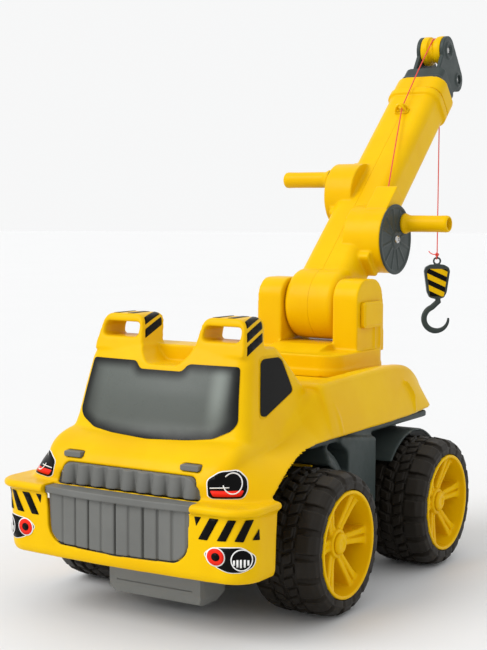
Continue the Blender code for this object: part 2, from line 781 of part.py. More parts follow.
def build_wheels(root, skins):
    """Build the axles and the four wheels, each under an empty on its axis."""
    tyre_source = lathe(tyre_profile())
    rim_source = build_rim()
    centre_x = WHEEL_FACE_X - TYRE_WIDTH / 2
    hub_face = TYRE_WIDTH / 2 - HUB_SET_BACK
    cap_source = lathe([(hub_face + GAP, 0), (hub_face + GAP, HUB_CAP_RADIUS),
                        (hub_face + HUB_CAP_THICKNESS, HUB_CAP_RADIUS - 0.0015),
                        (hub_face + HUB_CAP_THICKNESS, 0)], SMALL_ROUND)
    for end, y in (("front", 0.0), ("rear", WHEELBASE)):
        axle_end = centre_x + hub_face - 0.001
        axle = rod(-axle_end, axle_end, AXLE_RADIUS, segments=SMALL_ROUND)
        place(axle, end + "_axle", root, skins["steel"], (0, y, TYRE_RADIUS))
        for side, sign in (("left", 1), ("right", -1)):
            name = end + "_" + side
            axis = empty(name + "_wheel_axis", root, (centre_x * sign, y, TYRE_RADIUS))
            for source, part, skin in ((tyre_source, "tyre", "tyre"), (rim_source, "rim", "rim"),
                                       (cap_source, "hub_cap", "cap")):
                piece = copy_of(source) if sign > 0 else mirrored(source)
                place(piece, name + "_" + part, axis, skins[skin])
    for source in (tyre_source, rim_source, cap_source):
        bpy.data.objects.remove(source, do_unlink=True)


# ================================================================== crane base
def ear_outline(inset=0.0):
    """Return an ear of the crane base seen from the side, as (y, z) points."""
    front = EAR_FRONT_Y - SLEW_Y + inset
    back = EAR_BACK_Y - SLEW_Y - inset
    top = EAR_TOP_Z - inset
    low = DECK_Z + BASE_HEIGHT - (0.004 if not inset else 0.03)
    radius = 0.026
    return ([(front, low), (back, low), (back - 0.002, top - 0.034)]
            + arc((back - radius - 0.005, top - radius), radius, 5, 90, 4)
            + arc((front + radius, top - radius), radius, 90, 180, 4))


def build_yoke():
    """Build the turning crane base: a pedestal, two ears and the spigot below the deck."""
    floor = DECK_Z + GAP
    top = DECK_Z + BASE_HEIGHT
    base = prism(rounded(-BASE_HALF_X, BASE_HALF_X, -BASE_HALF_Y, BASE_HALF_Y, BASE_CORNER),
                 "Z", floor, top)
    ear_inner = BOOM_HALF + RUN
    for side in (1, -1):
        base = fuse(base, prism(ear_outline(), "X", ear_inner * side, EAR_OUTER_X * side))
    saddle_top = PIVOT_Z - KNUCKLE_RADIUS - 0.0015
    saddle = prism([(-BASE_HALF_Y + 0.012, top - 0.002), (EAR_BACK_Y - SLEW_Y, top - 0.002),
                    (EAR_BACK_Y - SLEW_Y, saddle_top), (EAR_FRONT_Y - SLEW_Y - 0.012, saddle_top)],
                   "X", -ear_inner - 0.002, ear_inner + 0.002)
    base = fuse(base, saddle)
    wall = EAR_WALL
    hollow = prism(rounded(-BASE_HALF_X + wall, BASE_HALF_X - wall, -BASE_HALF_Y + wall,
                           BASE_HALF_Y - wall, BASE_CORNER - wall), "Z", floor - 0.01, top - wall)
    base = cut(base, hollow)
    for side in (1, -1):
        base = cut(base, prism(ear_outline(wall), "X", (ear_inner + wall) * side,
                               (EAR_OUTER_X - wall) * side))
    spigot_low = RIM_Z - 0.012
    spigot = post(spigot_low, top - wall / 2, SPIGOT_RADIUS, segments=ROUND)
    bore = post(spigot_low - 0.01, top - wall, SPIGOT_RADIUS - SPIGOT_WALL, segments=ROUND)
    base = cut(fuse(base, spigot), bore)
    bridge = post(spigot_low, spigot_low + 0.004, SPIGOT_RADIUS - SPIGOT_WALL / 2)
    hole = post(spigot_low - 0.01, spigot_low + 0.01, SCREW_SHANK_RADIUS + GAP,
                segments=SMALL_ROUND)
    base = cut(fuse(base, bridge), hole)
    pin = rod(-EAR_OUTER_X - 0.01, EAR_OUTER_X + 0.01, PIVOT_PIN_RADIUS + GAP,
              (PIVOT_Y - SLEW_Y, PIVOT_Z), SMALL_ROUND)
    return cut(base, pin), spigot_low


def build_crane_base(root, skins):
    """Build everything that turns with the slewing base and return its empty."""
    axis = empty("slew_axis", root, (0, SLEW_Y, 0))
    yoke, spigot_low = build_yoke()
    place(yoke, "crane_base", axis, skins["yellow"])
    retainer = post(spigot_low - GAP - RETAINER_THICKNESS, spigot_low - GAP, RETAINER_RADIUS)
    retainer = cut(retainer, post(0.1, 0.3, SCREW_SHANK_RADIUS + GAP, segments=SMALL_ROUND))
    place(retainer, "slew_retainer", axis, skins["chassis"])
    screw_z = spigot_low - 2 * GAP - RETAINER_THICKNESS
    place(body_screw(), "slew_screw", axis, skins["steel"], (0, 0, screw_z))
    pin_end = EAR_OUTER_X - 0.0005
    pin = rod(-pin_end, pin_end, PIVOT_PIN_RADIUS, segments=SMALL_ROUND)
    place(pin, "boom_pivot_pin", axis, skins["steel"], (0, PIVOT_Y - SLEW_Y, PIVOT_Z))
    for side, sign in (("left", 1), ("right", -1)):
        y = PIVOT_Y - SLEW_Y + COVER_OFFSET_Y
        z = PIVOT_Z + COVER_OFFSET_Z
        outline = rounded(y - COVER_SIZE_Y / 2, y + COVER_SIZE_Y / 2,
                          z - COVER_SIZE_Z / 2, z + COVER_SIZE_Z / 2, 0.004, 2)
        low = (EAR_OUTER_X + GAP) * sign
        high = (EAR_OUTER_X + COVER_THICKNESS) * sign
        place(prism(outline, "X", low, high), "pivot_cover_" + side, axis, skins["yellow"])
    return axis


# ================================================================== boom
def half_section(half, low, high, corner, seam):
    """Return half a rounded box section as (x, v) points, from the seam outwards."""
    return ([(seam, low)] + arc((half - corner, low + corner), corner, -90, 0, 4)
            + arc((half - corner, high - corner), corner, 0, 90, 4) + [(seam, high)])


def half_tube(u0, u1, grow, corner, seam):
    """Return half of the boom's beam between two stations, grown outwards."""
    outline = half_section(BOOM_HALF + grow, BOOM_LOW_V - grow, BOOM_HIGH_V + grow, corner, seam)
    return prism(outline, "Y", u0, u1)


def knuckle_half(radius, half, corner, seam, inner=0.0):
    """Return half of the round root of the boom, with a rounded rim."""
    rim = arc((half - corner, radius - corner), corner, 90, 0, 3)
    return lathe([(seam, inner), (seam, radius)] + rim + [(half, inner)])


def boom_half_blank():
    """Return one hollow half of the boom, for the +X side, without its crank housing."""
    seam = GAP / 2
    wall = BOOM_WALL
    blank = fuse(half_tube(0.0, BOOM_END_U, 0.0, BOOM_CORNER, seam),
                 half_tube(BOOM_END_U - BOOM_FLANGE_LENGTH, BOOM_END_U, BOOM_FLANGE,
                           BOOM_CORNER + BOOM_FLANGE, seam),
                 knuckle_half(KNUCKLE_RADIUS, BOOM_HALF, KNUCKLE_CORNER, seam))
    hollow = fuse(half_tube(0.030, BOOM_END_U + 0.01, -wall, BOOM_CORNER - wall, -0.001),
                  knuckle_half(KNUCKLE_RADIUS - wall, BOOM_HALF - wall, KNUCKLE_CORNER - wall,
                               -0.001))
    hollow = cut(hollow, rod(-0.01, BOOM_HALF, KNUCKLE_BOSS, segments=SMALL_ROUND))
    blank = cut(blank, hollow)
    return cut(blank, rod(-0.01, 0.05, PIVOT_PIN_RADIUS + RUN, segments=SMALL_ROUND))


def add_housing(half, u, face, chute=False):
    """Add a round crank housing: with a chute it ends behind its disc, else it surrounds it."""
    centre = (u, CRANK_V)
    outer_x = face - CRANK_DISC_THICKNESS - GAP if chute else face
    housing = rod(HOUSING_INNER_X, outer_x, HOUSING_RADIUS, centre)
    well = rod(BOOM_HALF + 0.0006, outer_x + 0.01, HOUSING_RADIUS - HOUSING_WALL, centre)
    if chute:
        block = box(CHUTE_INNER_X, outer_x - 0.0008, u + 0.012, CHUTE_END_U, CHUTE_LOW_V, CHUTE_HIGH_V)
        housing = fuse(housing, block)
        duct = box(SLOT_LOW_X, SLOT_HIGH_X, u + 0.002, CHUTE_END_U + 0.01, SLOT_LOW_V, SLOT_HIGH_V)
        well = fuse(well, duct)
    half = cut(fuse(half, housing), well)
    return cut(half, rod(0.01, 0.06, SHAFT_RADIUS + GAP, centre, SMALL_ROUND))


def blind_bearing(half, u):
    """Sink the bearing for the far end of a crank shaft into a boom half."""
    return cut(half, rod(0.02, BOOM_HALF - 0.0008, SHAFT_RADIUS + GAP, (u, CRANK_V), SMALL_ROUND))


def build_boom_halves():
    """Build the two halves of the boom, split along their seam."""
    left = blind_bearing(add_housing(boom_half_blank(), WINCH_U, WINCH_FACE_X, chute=True), EXTEND_U)
    source = blind_bearing(add_housing(boom_half_blank(), EXTEND_U, EXTEND_FACE_X), WINCH_U)
    right = mirrored(source)
    bpy.data.objects.remove(source, do_unlink=True)
    return left, right


def build_guide():
    """Build the small arch on the boom's front that the cord runs through."""
    foot = BOOM_HIGH_V + GAP
    height = 0.0045
    outer = GUIDE_ARCH_RADIUS + GUIDE_WIRE_RADIUS
    inner = GUIDE_ARCH_RADIUS - GUIDE_WIRE_RADIUS
    outline = ([(outer, foot)] + arc((0, foot + height), outer, 0, 180, 10) + [(-outer, foot)]
               + [(-inner, foot)] + arc((0, foot + height), inner, 180, 0, 10) + [(inner, foot)])
    length = 0.0055
    arch = prism(outline, "Y", GUIDE_U - length, GUIDE_U + length)
    sole = prism([(-outer, foot), (outer, foot), (outer, foot + 0.0012), (-outer, foot + 0.0012)],
                 "Y", GUIDE_U - length, GUIDE_U + length)
    return fuse(arch, sole)


def crank_disc(face, radius, hub_hole):
    """Return a crank disc with a hole for its screw, turning about the crank's own axis."""
    back = face - CRANK_DISC_THICKNESS
    return lathe([(back, hub_hole), (back, radius), (face - 0.0008, radius),
                  (face, radius - 0.0008), (face, hub_hole)])


def crank_handle(face, length):
    """Return a hollow handle with a flared root, turning about its own axis."""
    start = face + GAP
    end = face + length
    return lathe([(start, 0), (start, HANDLE_FLARE), (start + 0.003, HANDLE_FLARE),
                  (start + 0.010, HANDLE_RADIUS), (end - 0.0015, HANDLE_RADIUS),
                  (end, HANDLE_RADIUS - 0.0015), (end, HANDLE_BORE),
                  (end - HANDLE_BORE_DEPTH, HANDLE_BORE), (end - HANDLE_BORE_DEPTH, 0)], 20)


def crank_screw(face):
    """Return the screw that clamps a crank disc on its shaft."""
    head = rod(face + GAP, face + 0.0035, 0.0055, segments=SMALL_ROUND)
    shank = rod(face - 0.014, face + GAP + 0.0005, SCREW_SHANK_RADIUS, segments=SMALL_ROUND)
    return fuse(head, shank)


def winch_drum():
    """Return the winch shaft with its spool, open at the end for its screw."""
    end = WINCH_FACE_X - CRANK_DISC_THICKNESS - GAP
    inner = BOOM_HALF + 0.0006 + RUN
    bore = SCREW_SHANK_RADIUS + GAP
    far = -BOOM_HALF + 0.0012
    return lathe([(far, 0), (far, SHAFT_RADIUS), (inner, SHAFT_RADIUS), (inner, SPOOL_FLANGE),
                  (inner + 0.002, SPOOL_FLANGE), (inner + 0.002, SPOOL_CORE), (end, SPOOL_CORE),
                  (end, bore), (end - 0.014, bore), (end - 0.014, 0)], 24)


def winding():
    """Return the cord wound on the spool, as one plain ring."""
    inner = BOOM_HALF + 0.0006 + RUN + 0.002 + GAP
    outer = WINCH_FACE_X - CRANK_DISC_THICKNESS - 2 * GAP
    core = SPOOL_CORE + GAP
    return lathe([(inner, core), (inner, WINDING_RADIUS), (outer, WINDING_RADIUS), (outer, core)], 24)


def pinion():
    """Return the toothed shaft of the telescope crank."""
    pitch = GEAR_MODULE * PINION_TEETH / 2
    tip = pitch + 0.8 * GEAR_MODULE
    root = pitch - 1.2 * GEAR_MODULE
    outline = []
    for i in range(PINION_TEETH):
        middle = 2 * math.pi * i / PINION_TEETH - math.pi / 2
        for radius, offset in ((root, -0.0016), (tip, -0.0008), (tip, 0.0008), (root, 0.0016)):
            a = middle + offset / radius
            outline.append((radius * math.cos(a), radius * math.sin(a)))
    gear = prism(outline, "X", -PINION_WIDTH / 2, PINION_WIDTH / 2)
    end = EXTEND_FACE_X - CRANK_DISC_THICKNESS - GAP
    bore = SCREW_SHANK_RADIUS + GAP
    shaft = lathe([(-BOOM_HALF + 0.0012, 0), (-BOOM_HALF + 0.0012, SHAFT_RADIUS),
                   (end, SHAFT_RADIUS), (end, bore), (end - 0.014, bore), (end - 0.014, 0)],
                  SMALL_ROUND)
    return fuse(gear, shaft)


def rack():
    """Return the rack that the pinion drives, with its foot in the inner boom."""
    pitch_v = CRANK_V - GEAR_MODULE * PINION_TEETH / 2
    top = pitch_v + 0.8 * GEAR_MODULE
    root = pitch_v - 1.2 * GEAR_MODULE
    low = root - 0.0050
    step = math.pi * GEAR_MODULE
    start = EXTEND_U - BOOM_TRAVEL - 2.5 * step
    count = int((EXTEND_U + 2.5 * step - start) / step)
    foot_end = start + (count + 4) * step
    teeth = []
    for i in range(count):
        middle = start + (i + 0.5) * step
        offset = (EXTEND_U + 0.5 * step - middle) % step
        middle += offset
        teeth += [(middle - 0.0019, root), (middle - 0.0008, top),
                  (middle + 0.0008, top), (middle + 0.0019, root)]
    foot_low = BOOM_LOW_V + BOOM_WALL + INNER_CLEARANCE + INNER_WALL + GAP
    outline = ([(start, root)] + teeth + [(foot_end, root), (foot_end, foot_low),
               (INNER_TAIL_U + 0.004, foot_low), (INNER_TAIL_U + 0.004, low), (start, low)])
    return prism(outline, "X", -PINION_WIDTH / 2 + 0.0005, PINION_WIDTH / 2 - 0.0005)


def full_section(half, low, high, corner):
    """Return a whole rounded box section as (x, v) points."""
    return rounded(-half, half, low, high, corner, 4)


def build_inner_boom():
    """Build the hollow inner boom with its end flange."""
    side = BOOM_WALL + INNER_CLEARANCE
    half = BOOM_HALF - side
    low = BOOM_LOW_V + side
    high = BOOM_HIGH_V - side
    corner = BOOM_CORNER - side
    tube = prism(full_section(half, low, high, corner), "Y", INNER_TAIL_U, INNER_END_U)
    flange = prism(full_section(INNER_FLANGE_HALF, INNER_FLANGE_LOW_V, INNER_FLANGE_HIGH_V, 0.018),
                   "Y", INNER_FLANGE_START_U, INNER_END_U)
    wall = INNER_WALL
    hollow = prism(full_section(half - wall, low + wall, high - wall, corner - wall),
                   "Y", INNER_TAIL_U - 0.01, INNER_END_U + 0.01)
    return cut(fuse(tube, flange), hollow)


def tangent_hull(first, first_radius, second, second_radius, steps=8):
    """Return the outline round two circles of an upright cheek, first above second."""
    start = math.degrees(math.atan2(first[1] - second[1], first[0] - second[0])) - 90
    return (arc(first, first_radius, start, start + 180, steps)
            + arc(second, second_radius, start + 180, start + 360, steps))


def build_head():
    """Build the grey boom head: a plug, a plate and two cheeks."""
    plate_start = INNER_END_U + GAP
    plate = prism(full_section(HEAD_PLATE_HALF, HEAD_PLATE_LOW_V, HEAD_PLATE_HIGH_V, 0.007),
                  "Y", plate_start, HEAD_PLATE_END_U)
    side = BOOM_WALL + INNER_CLEARANCE + INNER_WALL + GAP
    corner = BOOM_CORNER - side
    plug = prism(full_section(BOOM_HALF - side, BOOM_LOW_V + side, BOOM_HIGH_V - side, corner),
                 "Y", INNER_END_U - 0.014, plate_start + 0.001)
    head = fuse(plate, plug)
    hollow = prism(full_section(BOOM_HALF - side - 0.003, BOOM_LOW_V + side + 0.003,
                                BOOM_HIGH_V - side - 0.003, corner - 0.003),
                   "Y", INNER_END_U - 0.02, HEAD_PLATE_END_U - 0.004)
    head = cut(head, hollow)
    outline = tangent_hull((SHEAVE_U, SHEAVE_V), CHEEK_TOP_RADIUS,
                           (LOWER_PIN_U, LOWER_PIN_V), CHEEK_LOW_RADIUS)
    web = [(HEAD_PLATE_END_U - 0.002, HEAD_PLATE_LOW_V + 0.002), (LOWER_PIN_U, LOWER_PIN_V - 0.012),
           (SHEAVE_U, SHEAVE_V + 0.010), (HEAD_PLATE_END_U - 0.002, HEAD_PLATE_HIGH_V - 0.006)]
    for sign in (1, -1):
        x0 = CHEEK_INNER_X * sign
        x1 = (CHEEK_INNER_X + CHEEK_THICKNESS) * sign
        cheek = fuse(prism(outline, "X", x0, x1), prism(web, "X", x0, x1))
        head = fuse(head, cheek)
    for u, v in ((SHEAVE_U, SHEAVE_V), (LOWER_PIN_U, LOWER_PIN_V)):
        head = cut(head, rod(-0.05, 0.05, HEAD_PIN_RADIUS + GAP, (u, v), SMALL_ROUND))
    return head


def sheave():
    """Return the grooved pulley at the top of the boom."""
    half = CHEEK_INNER_X - RUN
    bore = HEAD_PIN_RADIUS + GAP
    flange = 0.006
    return lathe([(-half, bore), (-half, SHEAVE_RADIUS - 0.001), (-half + 0.001, SHEAVE_RADIUS),
                  (-half + flange, SHEAVE_RADIUS), (-0.0012, GROOVE_RADIUS), (0.0012, GROOVE_RADIUS),
                  (half - flange, SHEAVE_RADIUS), (half - 0.001, SHEAVE_RADIUS),
                  (half, SHEAVE_RADIUS - 0.001), (half, bore)], 24)


def head_pin():
    """Return a pin through both cheeks."""
    end = CHEEK_INNER_X + CHEEK_THICKNESS - 0.001
    return rod(-end, end, HEAD_PIN_RADIUS, segments=SMALL_ROUND)


# ================================================================== cord and hook
def catmull(points, spacing):
    """Return points about one spacing apart along a smooth curve through the given ones."""
    ends = [points[0] * 2 - points[1]] + points + [points[-1] * 2 - points[-2]]
    smooth = []
    for a, b, c, d in zip(ends, ends[1:], ends[2:], ends[3:]):
        steps = max(1, round((c - b).length / spacing))
        for i in range(steps):
            t = i / steps
            smooth.append(0.5 * (2 * b + (c - a) * t + (2 * a - 5 * b + 4 * c - d) * t * t
                                 + (3 * b - a - 3 * c + d) * t ** 3))
    return smooth + [points[-1]]


def cord_tube(points):
    """Return a cord as a filled round tube through the given points."""
    route = catmull([Vector(p) for p in points], CORD_SPACING)
    curve = bpy.data.curves.new("cord", "CURVE")
    curve.dimensions = "3D"
    curve.bevel_depth = CORD_RADIUS
    curve.bevel_resolution = 2
    curve.use_fill_caps = True
    line = curve.splines.new("POLY")
    line.points.add(len(route) - 1)
    for spot, point in zip(line.points, route):
        spot.co = (*point, 1)
    tube = bpy.data.objects.new("cord", curve)
    bpy.context.collection.objects.link(tube)
    return tube


def place_cord(tube, name, parent, skin):
    """Name a cord tube, give it its material and hang it on its parent."""
    tube.name = name
    tube.data.name = name
    tube.parent = parent
    tube.data.materials.append(skin)
    return tube


def cord_over_sheave():
    """Return the cord's centres over the sheave, from its top to its rear tangent."""
    radius = GROOVE_RADIUS + GAP + CORD_RADIUS
    over = arc((SHEAVE_U, SHEAVE_V), radius, 92, -BOOM_ANGLE, 12)
    return [(0.0, u, v) for u, v in over]


def cord_routes():
    """Return the routes of the two upper stretches of cord, in the boom's frame."""
    winding_v = CRANK_V + WINDING_RADIUS + GAP + CORD_RADIUS
    guide = (0.0020, GUIDE_U, 0.0436)
    run = [(0.0455, WINCH_U + 0.001, winding_v), (0.0450, 0.145, 0.0425), (0.0436, 0.168, 0.0434),
           (0.0315, 0.220, 0.0437), (0.0150, 0.290, 0.0438), guide]
    after = (guide[0] - 0.0001, GUIDE_U + 0.0004, guide[2])
    lead = [after, (0.0014, 0.380, 0.0452), (0.0005, 0.430, 0.0471)]
    return run, lead + cord_over_sheave()


def fall_top():
    """Return the boom-frame place where the cord leaves the sheave."""
    return cord_over_sheave()[-1]


def build_hook():
    """Build the hook moulding: its ring, its flat block and its hook, hanging from its ring."""
    ring = lathe([(-RING_WIRE, RING_RADIUS - RING_WIRE), (-RING_WIRE, RING_RADIUS + RING_WIRE),
                  (RING_WIRE, RING_RADIUS + RING_WIRE), (RING_WIRE, RING_RADIUS - RING_WIRE)],
                 SMALL_ROUND)
    ring.data.transform(Matrix.Rotation(math.radians(90), 4, "Z"))
    top = -RING_RADIUS - RING_WIRE + 0.0012
    low = top - BLOCK_HEIGHT
    half = BLOCK_THICKNESS / 2
    outline = [(-0.010, top), (0.010, top), (BLOCK_HALF_TOP - 0.002, top - 0.004),
               (BLOCK_HALF_TOP, top - 0.010), (BLOCK_HALF_LOW + 0.002, low + 0.010),
               (BLOCK_HALF_LOW - 0.002, low + 0.002), (0.005, low), (-0.005, low),
               (-BLOCK_HALF_LOW + 0.002, low + 0.002), (-BLOCK_HALF_LOW - 0.002, low + 0.010),
               (-BLOCK_HALF_TOP, top - 0.010), (-BLOCK_HALF_TOP + 0.002, top - 0.004)]
    block = prism(outline, "Y", -half, half)
    inlay = stripe_outline(top, low, GAP)
    block = cut(block, prism(inlay, "Y", -half - 0.01, -half + STRIPE_THICKNESS + GAP),
                prism(inlay, "Y", half - STRIPE_THICKNESS - GAP, half + 0.01))
    hook = hook_bend(low)
    return fuse(ring, block, hook), top, low


def stripe_outline(top, low, grow=0.0):
    """Return the outline of the striped inlay in the hook's block."""
    margin = STRIPE_MARGIN - grow
    upper = BLOCK_HALF_TOP - margin
    lower = BLOCK_HALF_LOW - margin + 0.001
    return [(-upper, top - 0.010), (-upper + 0.002, top - 0.003 - margin),
            (upper - 0.002, top - 0.003 - margin), (upper, top - 0.010),
            (lower, low + margin), (-lower, low + margin)]


def hook_bend(low):
    """Return the round hook below the block, a tapered tube along a bent line."""
    centre = Vector((0.0, 0.0, low - 0.012 - HOOK_RADIUS))
    spine = [(Vector((0.001, 0, low + 0.0015)), 0.0046), (Vector((0.003, 0, low - 0.004)), 0.0042)]
    for i in range(13):
        a = math.radians(112 + i * 21)
        turn = centre + Vector((math.cos(a), 0, math.sin(a))) * HOOK_RADIUS
        size = HOOK_WIRE * (1.0 - 0.62 * max(0, i - 7) / 5)
        spine.append((turn, size))
    loops = []
    for number, (point, size) in enumerate(spine):
        before = spine[max(number - 1, 0)][0]
        after = spine[min(number + 1, len(spine) - 1)][0]
        along = (after - before).normalized()
        across = Vector((0, 1, 0)).cross(along).normalized()
        loop = []
        for k in range(10):
            a = 2 * math.pi * k / 10
            loop.append(point + across * size * math.cos(a) + Vector((0, 1, 0)) * size * math.sin(a))
        loops.append(loop)
    return loft(loops)


# ================================================================== assembly
def build_truck(root, skins):
    """Build everything that is fixed to the chassis."""
    shell = build_body_shell()
    for x, y in screw_places():
        shell = fuse(shell, post(RIM_Z, DECK_Z - 0.001, 0.0055, (x, y), SMALL_ROUND))
        shell = cut(shell, post(0.15, DECK_Z - 0.006, SCREW_SHANK_RADIUS + GAP, (x, y), SMALL_ROUND))
    place(shell, "body_shell", root, skins["yellow"])
    place(build_chassis(), "chassis", root, skins["chassis"])
    place(build_step(), "front_step", root, skins["grey"])
    lower, upper = build_grilles()
    place(lower, "grille_lower", root, skins["grey"])
    place(upper, "grille_upper", root, skins["grey"])
    for side, sign in (("left", 1), ("right", -1)):
        place(indicator(sign), "indicator_" + side, root, skins["grey"])
        pane = skin_panel(cab, side_window_outline(), "X", 0.05 * sign, 0.2 * sign, PANE_DEPTH, 0.0)
        place(pane, "side_window_" + side, root, skins["window"])
    pane = skin_panel(cab, windshield_outline(), "Y", -0.2, -0.05, PANE_DEPTH, 0.0)
    place(pane, "windshield", root, skins["glass"])
    screw_z = RIM_Z - GAP - WALL - GAP
    for number, (x, y) in enumerate(screw_places()):
        place(body_screw(), "body_screw_%d" % (number + 1), root, skins["steel"], (x, y, screw_z))


def build_crank(side, face, length, parent, centre_u, throw, names, skins):
    """Build a crank's disc, screw and handle, and return its empties."""
    axis = empty(names + "_axis", parent, (0, centre_u, CRANK_V))
    disc = crank_disc(face, WINCH_DISC_RADIUS if side > 0 else TELESCOPE_DISC_RADIUS,
                      SCREW_SHANK_RADIUS + GAP)
    screw = crank_screw(face)
    handle = crank_handle(face, length)
    if side < 0:
        for piece in (disc, screw, handle):
            piece.data.transform(Matrix.Scale(-1, 4, (1, 0, 0)))
            piece.data.flip_normals()
    place(disc, names + "_disc", axis, skins["chassis"])
    place(screw, names + "_screw", axis, skins["steel"])
    grip_axis = empty(names + "_handle_axis", axis, (0, throw[0], throw[1]))
    place(handle, names + "_handle", grip_axis, skins["yellow"])
    return axis


def build_boom(slew, skins):
    """Build the boom, its cranks and everything that hangs on it."""
    pivot = empty("boom_axis", slew, (0, PIVOT_Y - SLEW_Y, PIVOT_Z), BOOM_ANGLE)
    left, right = build_boom_halves()
    place(left, "boom_left_half", pivot, skins["yellow"])
    place(right, "boom_right_half", pivot, skins["yellow"])
    place(build_guide(), "cord_guide", pivot, skins["yellow"])
    winch = build_crank(1, WINCH_FACE_X, WINCH_HANDLE_LENGTH, pivot, WINCH_U, (CRANK_THROW, 0),
                        "winch", skins)
    place(winch_drum(), "winch_drum", winch, skins["grey"])
    place(winding(), "cord_winding", winch, skins["cord"])
    crank = build_crank(-1, EXTEND_FACE_X, EXTEND_HANDLE_LENGTH, pivot, EXTEND_U, (0, CRANK_THROW),
                        "telescope", skins)
    source = pinion()
    place(mirrored(source), "telescope_pinion", crank, skins["grey"])
    bpy.data.objects.remove(source, do_unlink=True)
    slide = empty("telescope_slide", pivot)
    place(build_inner_boom(), "inner_boom", slide, skins["yellow"])
    place(rack(), "telescope_rack", slide, skins["grey"])
    place(build_head(), "boom_head", slide, skins["chassis"])
    place(head_pin(), "lower_head_pin", slide, skins["steel"], (0, LOWER_PIN_U, LOWER_PIN_V))
    place(head_pin(), "sheave_pin", slide, skins["steel"], (0, SHEAVE_U, SHEAVE_V))
    sheave_axis = empty("sheave_axis", slide, (0, SHEAVE_U, SHEAVE_V))
    place(sheave(), "sheave", sheave_axis, skins["yellow"])
    run, over = cord_routes()
    place_cord(cord_tube(run), "cord_run", pivot, skins["cord"])
    place_cord(cord_tube(over), "cord_over_sheave", slide, skins["cord"])
    return pivot


def build_fall(root, skins):
    """Build the hanging cord, its knot and the hook, plumb below the sheave."""
    tilt = math.radians(BOOM_ANGLE)
    x, u, v = fall_top()
    top_y = PIVOT_Y + u * math.cos(tilt) - v * math.sin(tilt)
    top_z = PIVOT_Z + u * math.sin(tilt) + v * math.cos(tilt)
    line = empty("fall_axis", root, (x, top_y, top_z))
    knot_z = -FALL_LENGTH
    route = [(0, 0, -GAP), (0, 0, -FALL_LENGTH / 3), (0, 0, -FALL_LENGTH * 2 / 3),
             (0, 0, knot_z + KNOT_RADIUS + GAP)]
    place_cord(cord_tube(route), "cord_fall", line, skins["cord"])
    knot = lathe([(-KNOT_RADIUS, 0), (-KNOT_RADIUS * 0.7, KNOT_RADIUS * 0.8), (0, KNOT_RADIUS),
                  (KNOT_RADIUS * 0.7, KNOT_RADIUS * 0.8), (KNOT_RADIUS, 0)], 10)
    place(knot, "cord_knot", line, skins["cord"], (0, 0, knot_z))
    hook, top, low = build_hook()
    hang_z = knot_z - KNOT_RADIUS - GAP - RING_RADIUS - RING_WIRE
    hang = empty("hook_axis", line, (0, 0, hang_z), turn=HOOK_TURN)
    place(hook, "hook", hang, skins["chassis"])
    half = BLOCK_THICKNESS / 2
    for name, y0 in (("front", -half), ("rear", half - STRIPE_THICKNESS)):
        inlay = prism(stripe_outline(top, low), "Y", y0, y0 + STRIPE_THICKNESS)
        place(inlay, "hook_stripes_" + name, hang, skins["yellow"])


def middle_y():
    """Return the middle of the truck between the grille's shelf and the boom head."""
    tilt = math.radians(BOOM_ANGLE)
    lower_pin = LOWER_PIN_U * math.cos(tilt) - LOWER_PIN_V * math.sin(tilt) + CHEEK_LOW_RADIUS
    upper_pin = SHEAVE_U * math.cos(tilt) - SHEAVE_V * math.sin(tilt) + CHEEK_TOP_RADIUS
    return (BUMPER_FRONT_Y - 0.0030 + PIVOT_Y + max(lower_pin, upper_pin)) / 2


def main():
    """Build the whole crane truck."""
    clear_scene()
    skins = {
        "yellow": material("yellow_plastic", YELLOW, 0.32),
        "rim": material("rim_plastic", YELLOW, 0.30),
        "cap": material("hub_cap_plastic", YELLOW, 0.30),
        "chassis": material("dark_grey_plastic", DARK_GREY, 0.45),
        "grey": material("mid_grey_plastic", MID_GREY, 0.45),
        "tyre": material("tyre_rubber", TYRE_BLACK, 0.60),
        "steel": material("steel", STEEL, 0.30, 1.0),
        "glass": material("windshield_grey", GLASS_GREY, 0.25),
        "window": material("window_black", WINDOW_BLACK, 0.20),
        "cord": material("red_cord", CORD_RED, 0.80),
    }
    root = empty("crane_truck", location=(0, -middle_y(), 0))
    build_truck(root, skins)
    build_wheels(root, skins)
    slew = build_crane_base(root, skins)
    build_boom(slew, skins)
    build_fall(root, skins)


main()
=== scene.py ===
"""Finished surfaces of a toy crane truck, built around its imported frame.

The frame's nodes give every place and size. Shapes are drawn in truck coordinates, with Y = 0 on
the front axle, the truck facing -Y and its left side at +X, and are then moved into the frame.
"""

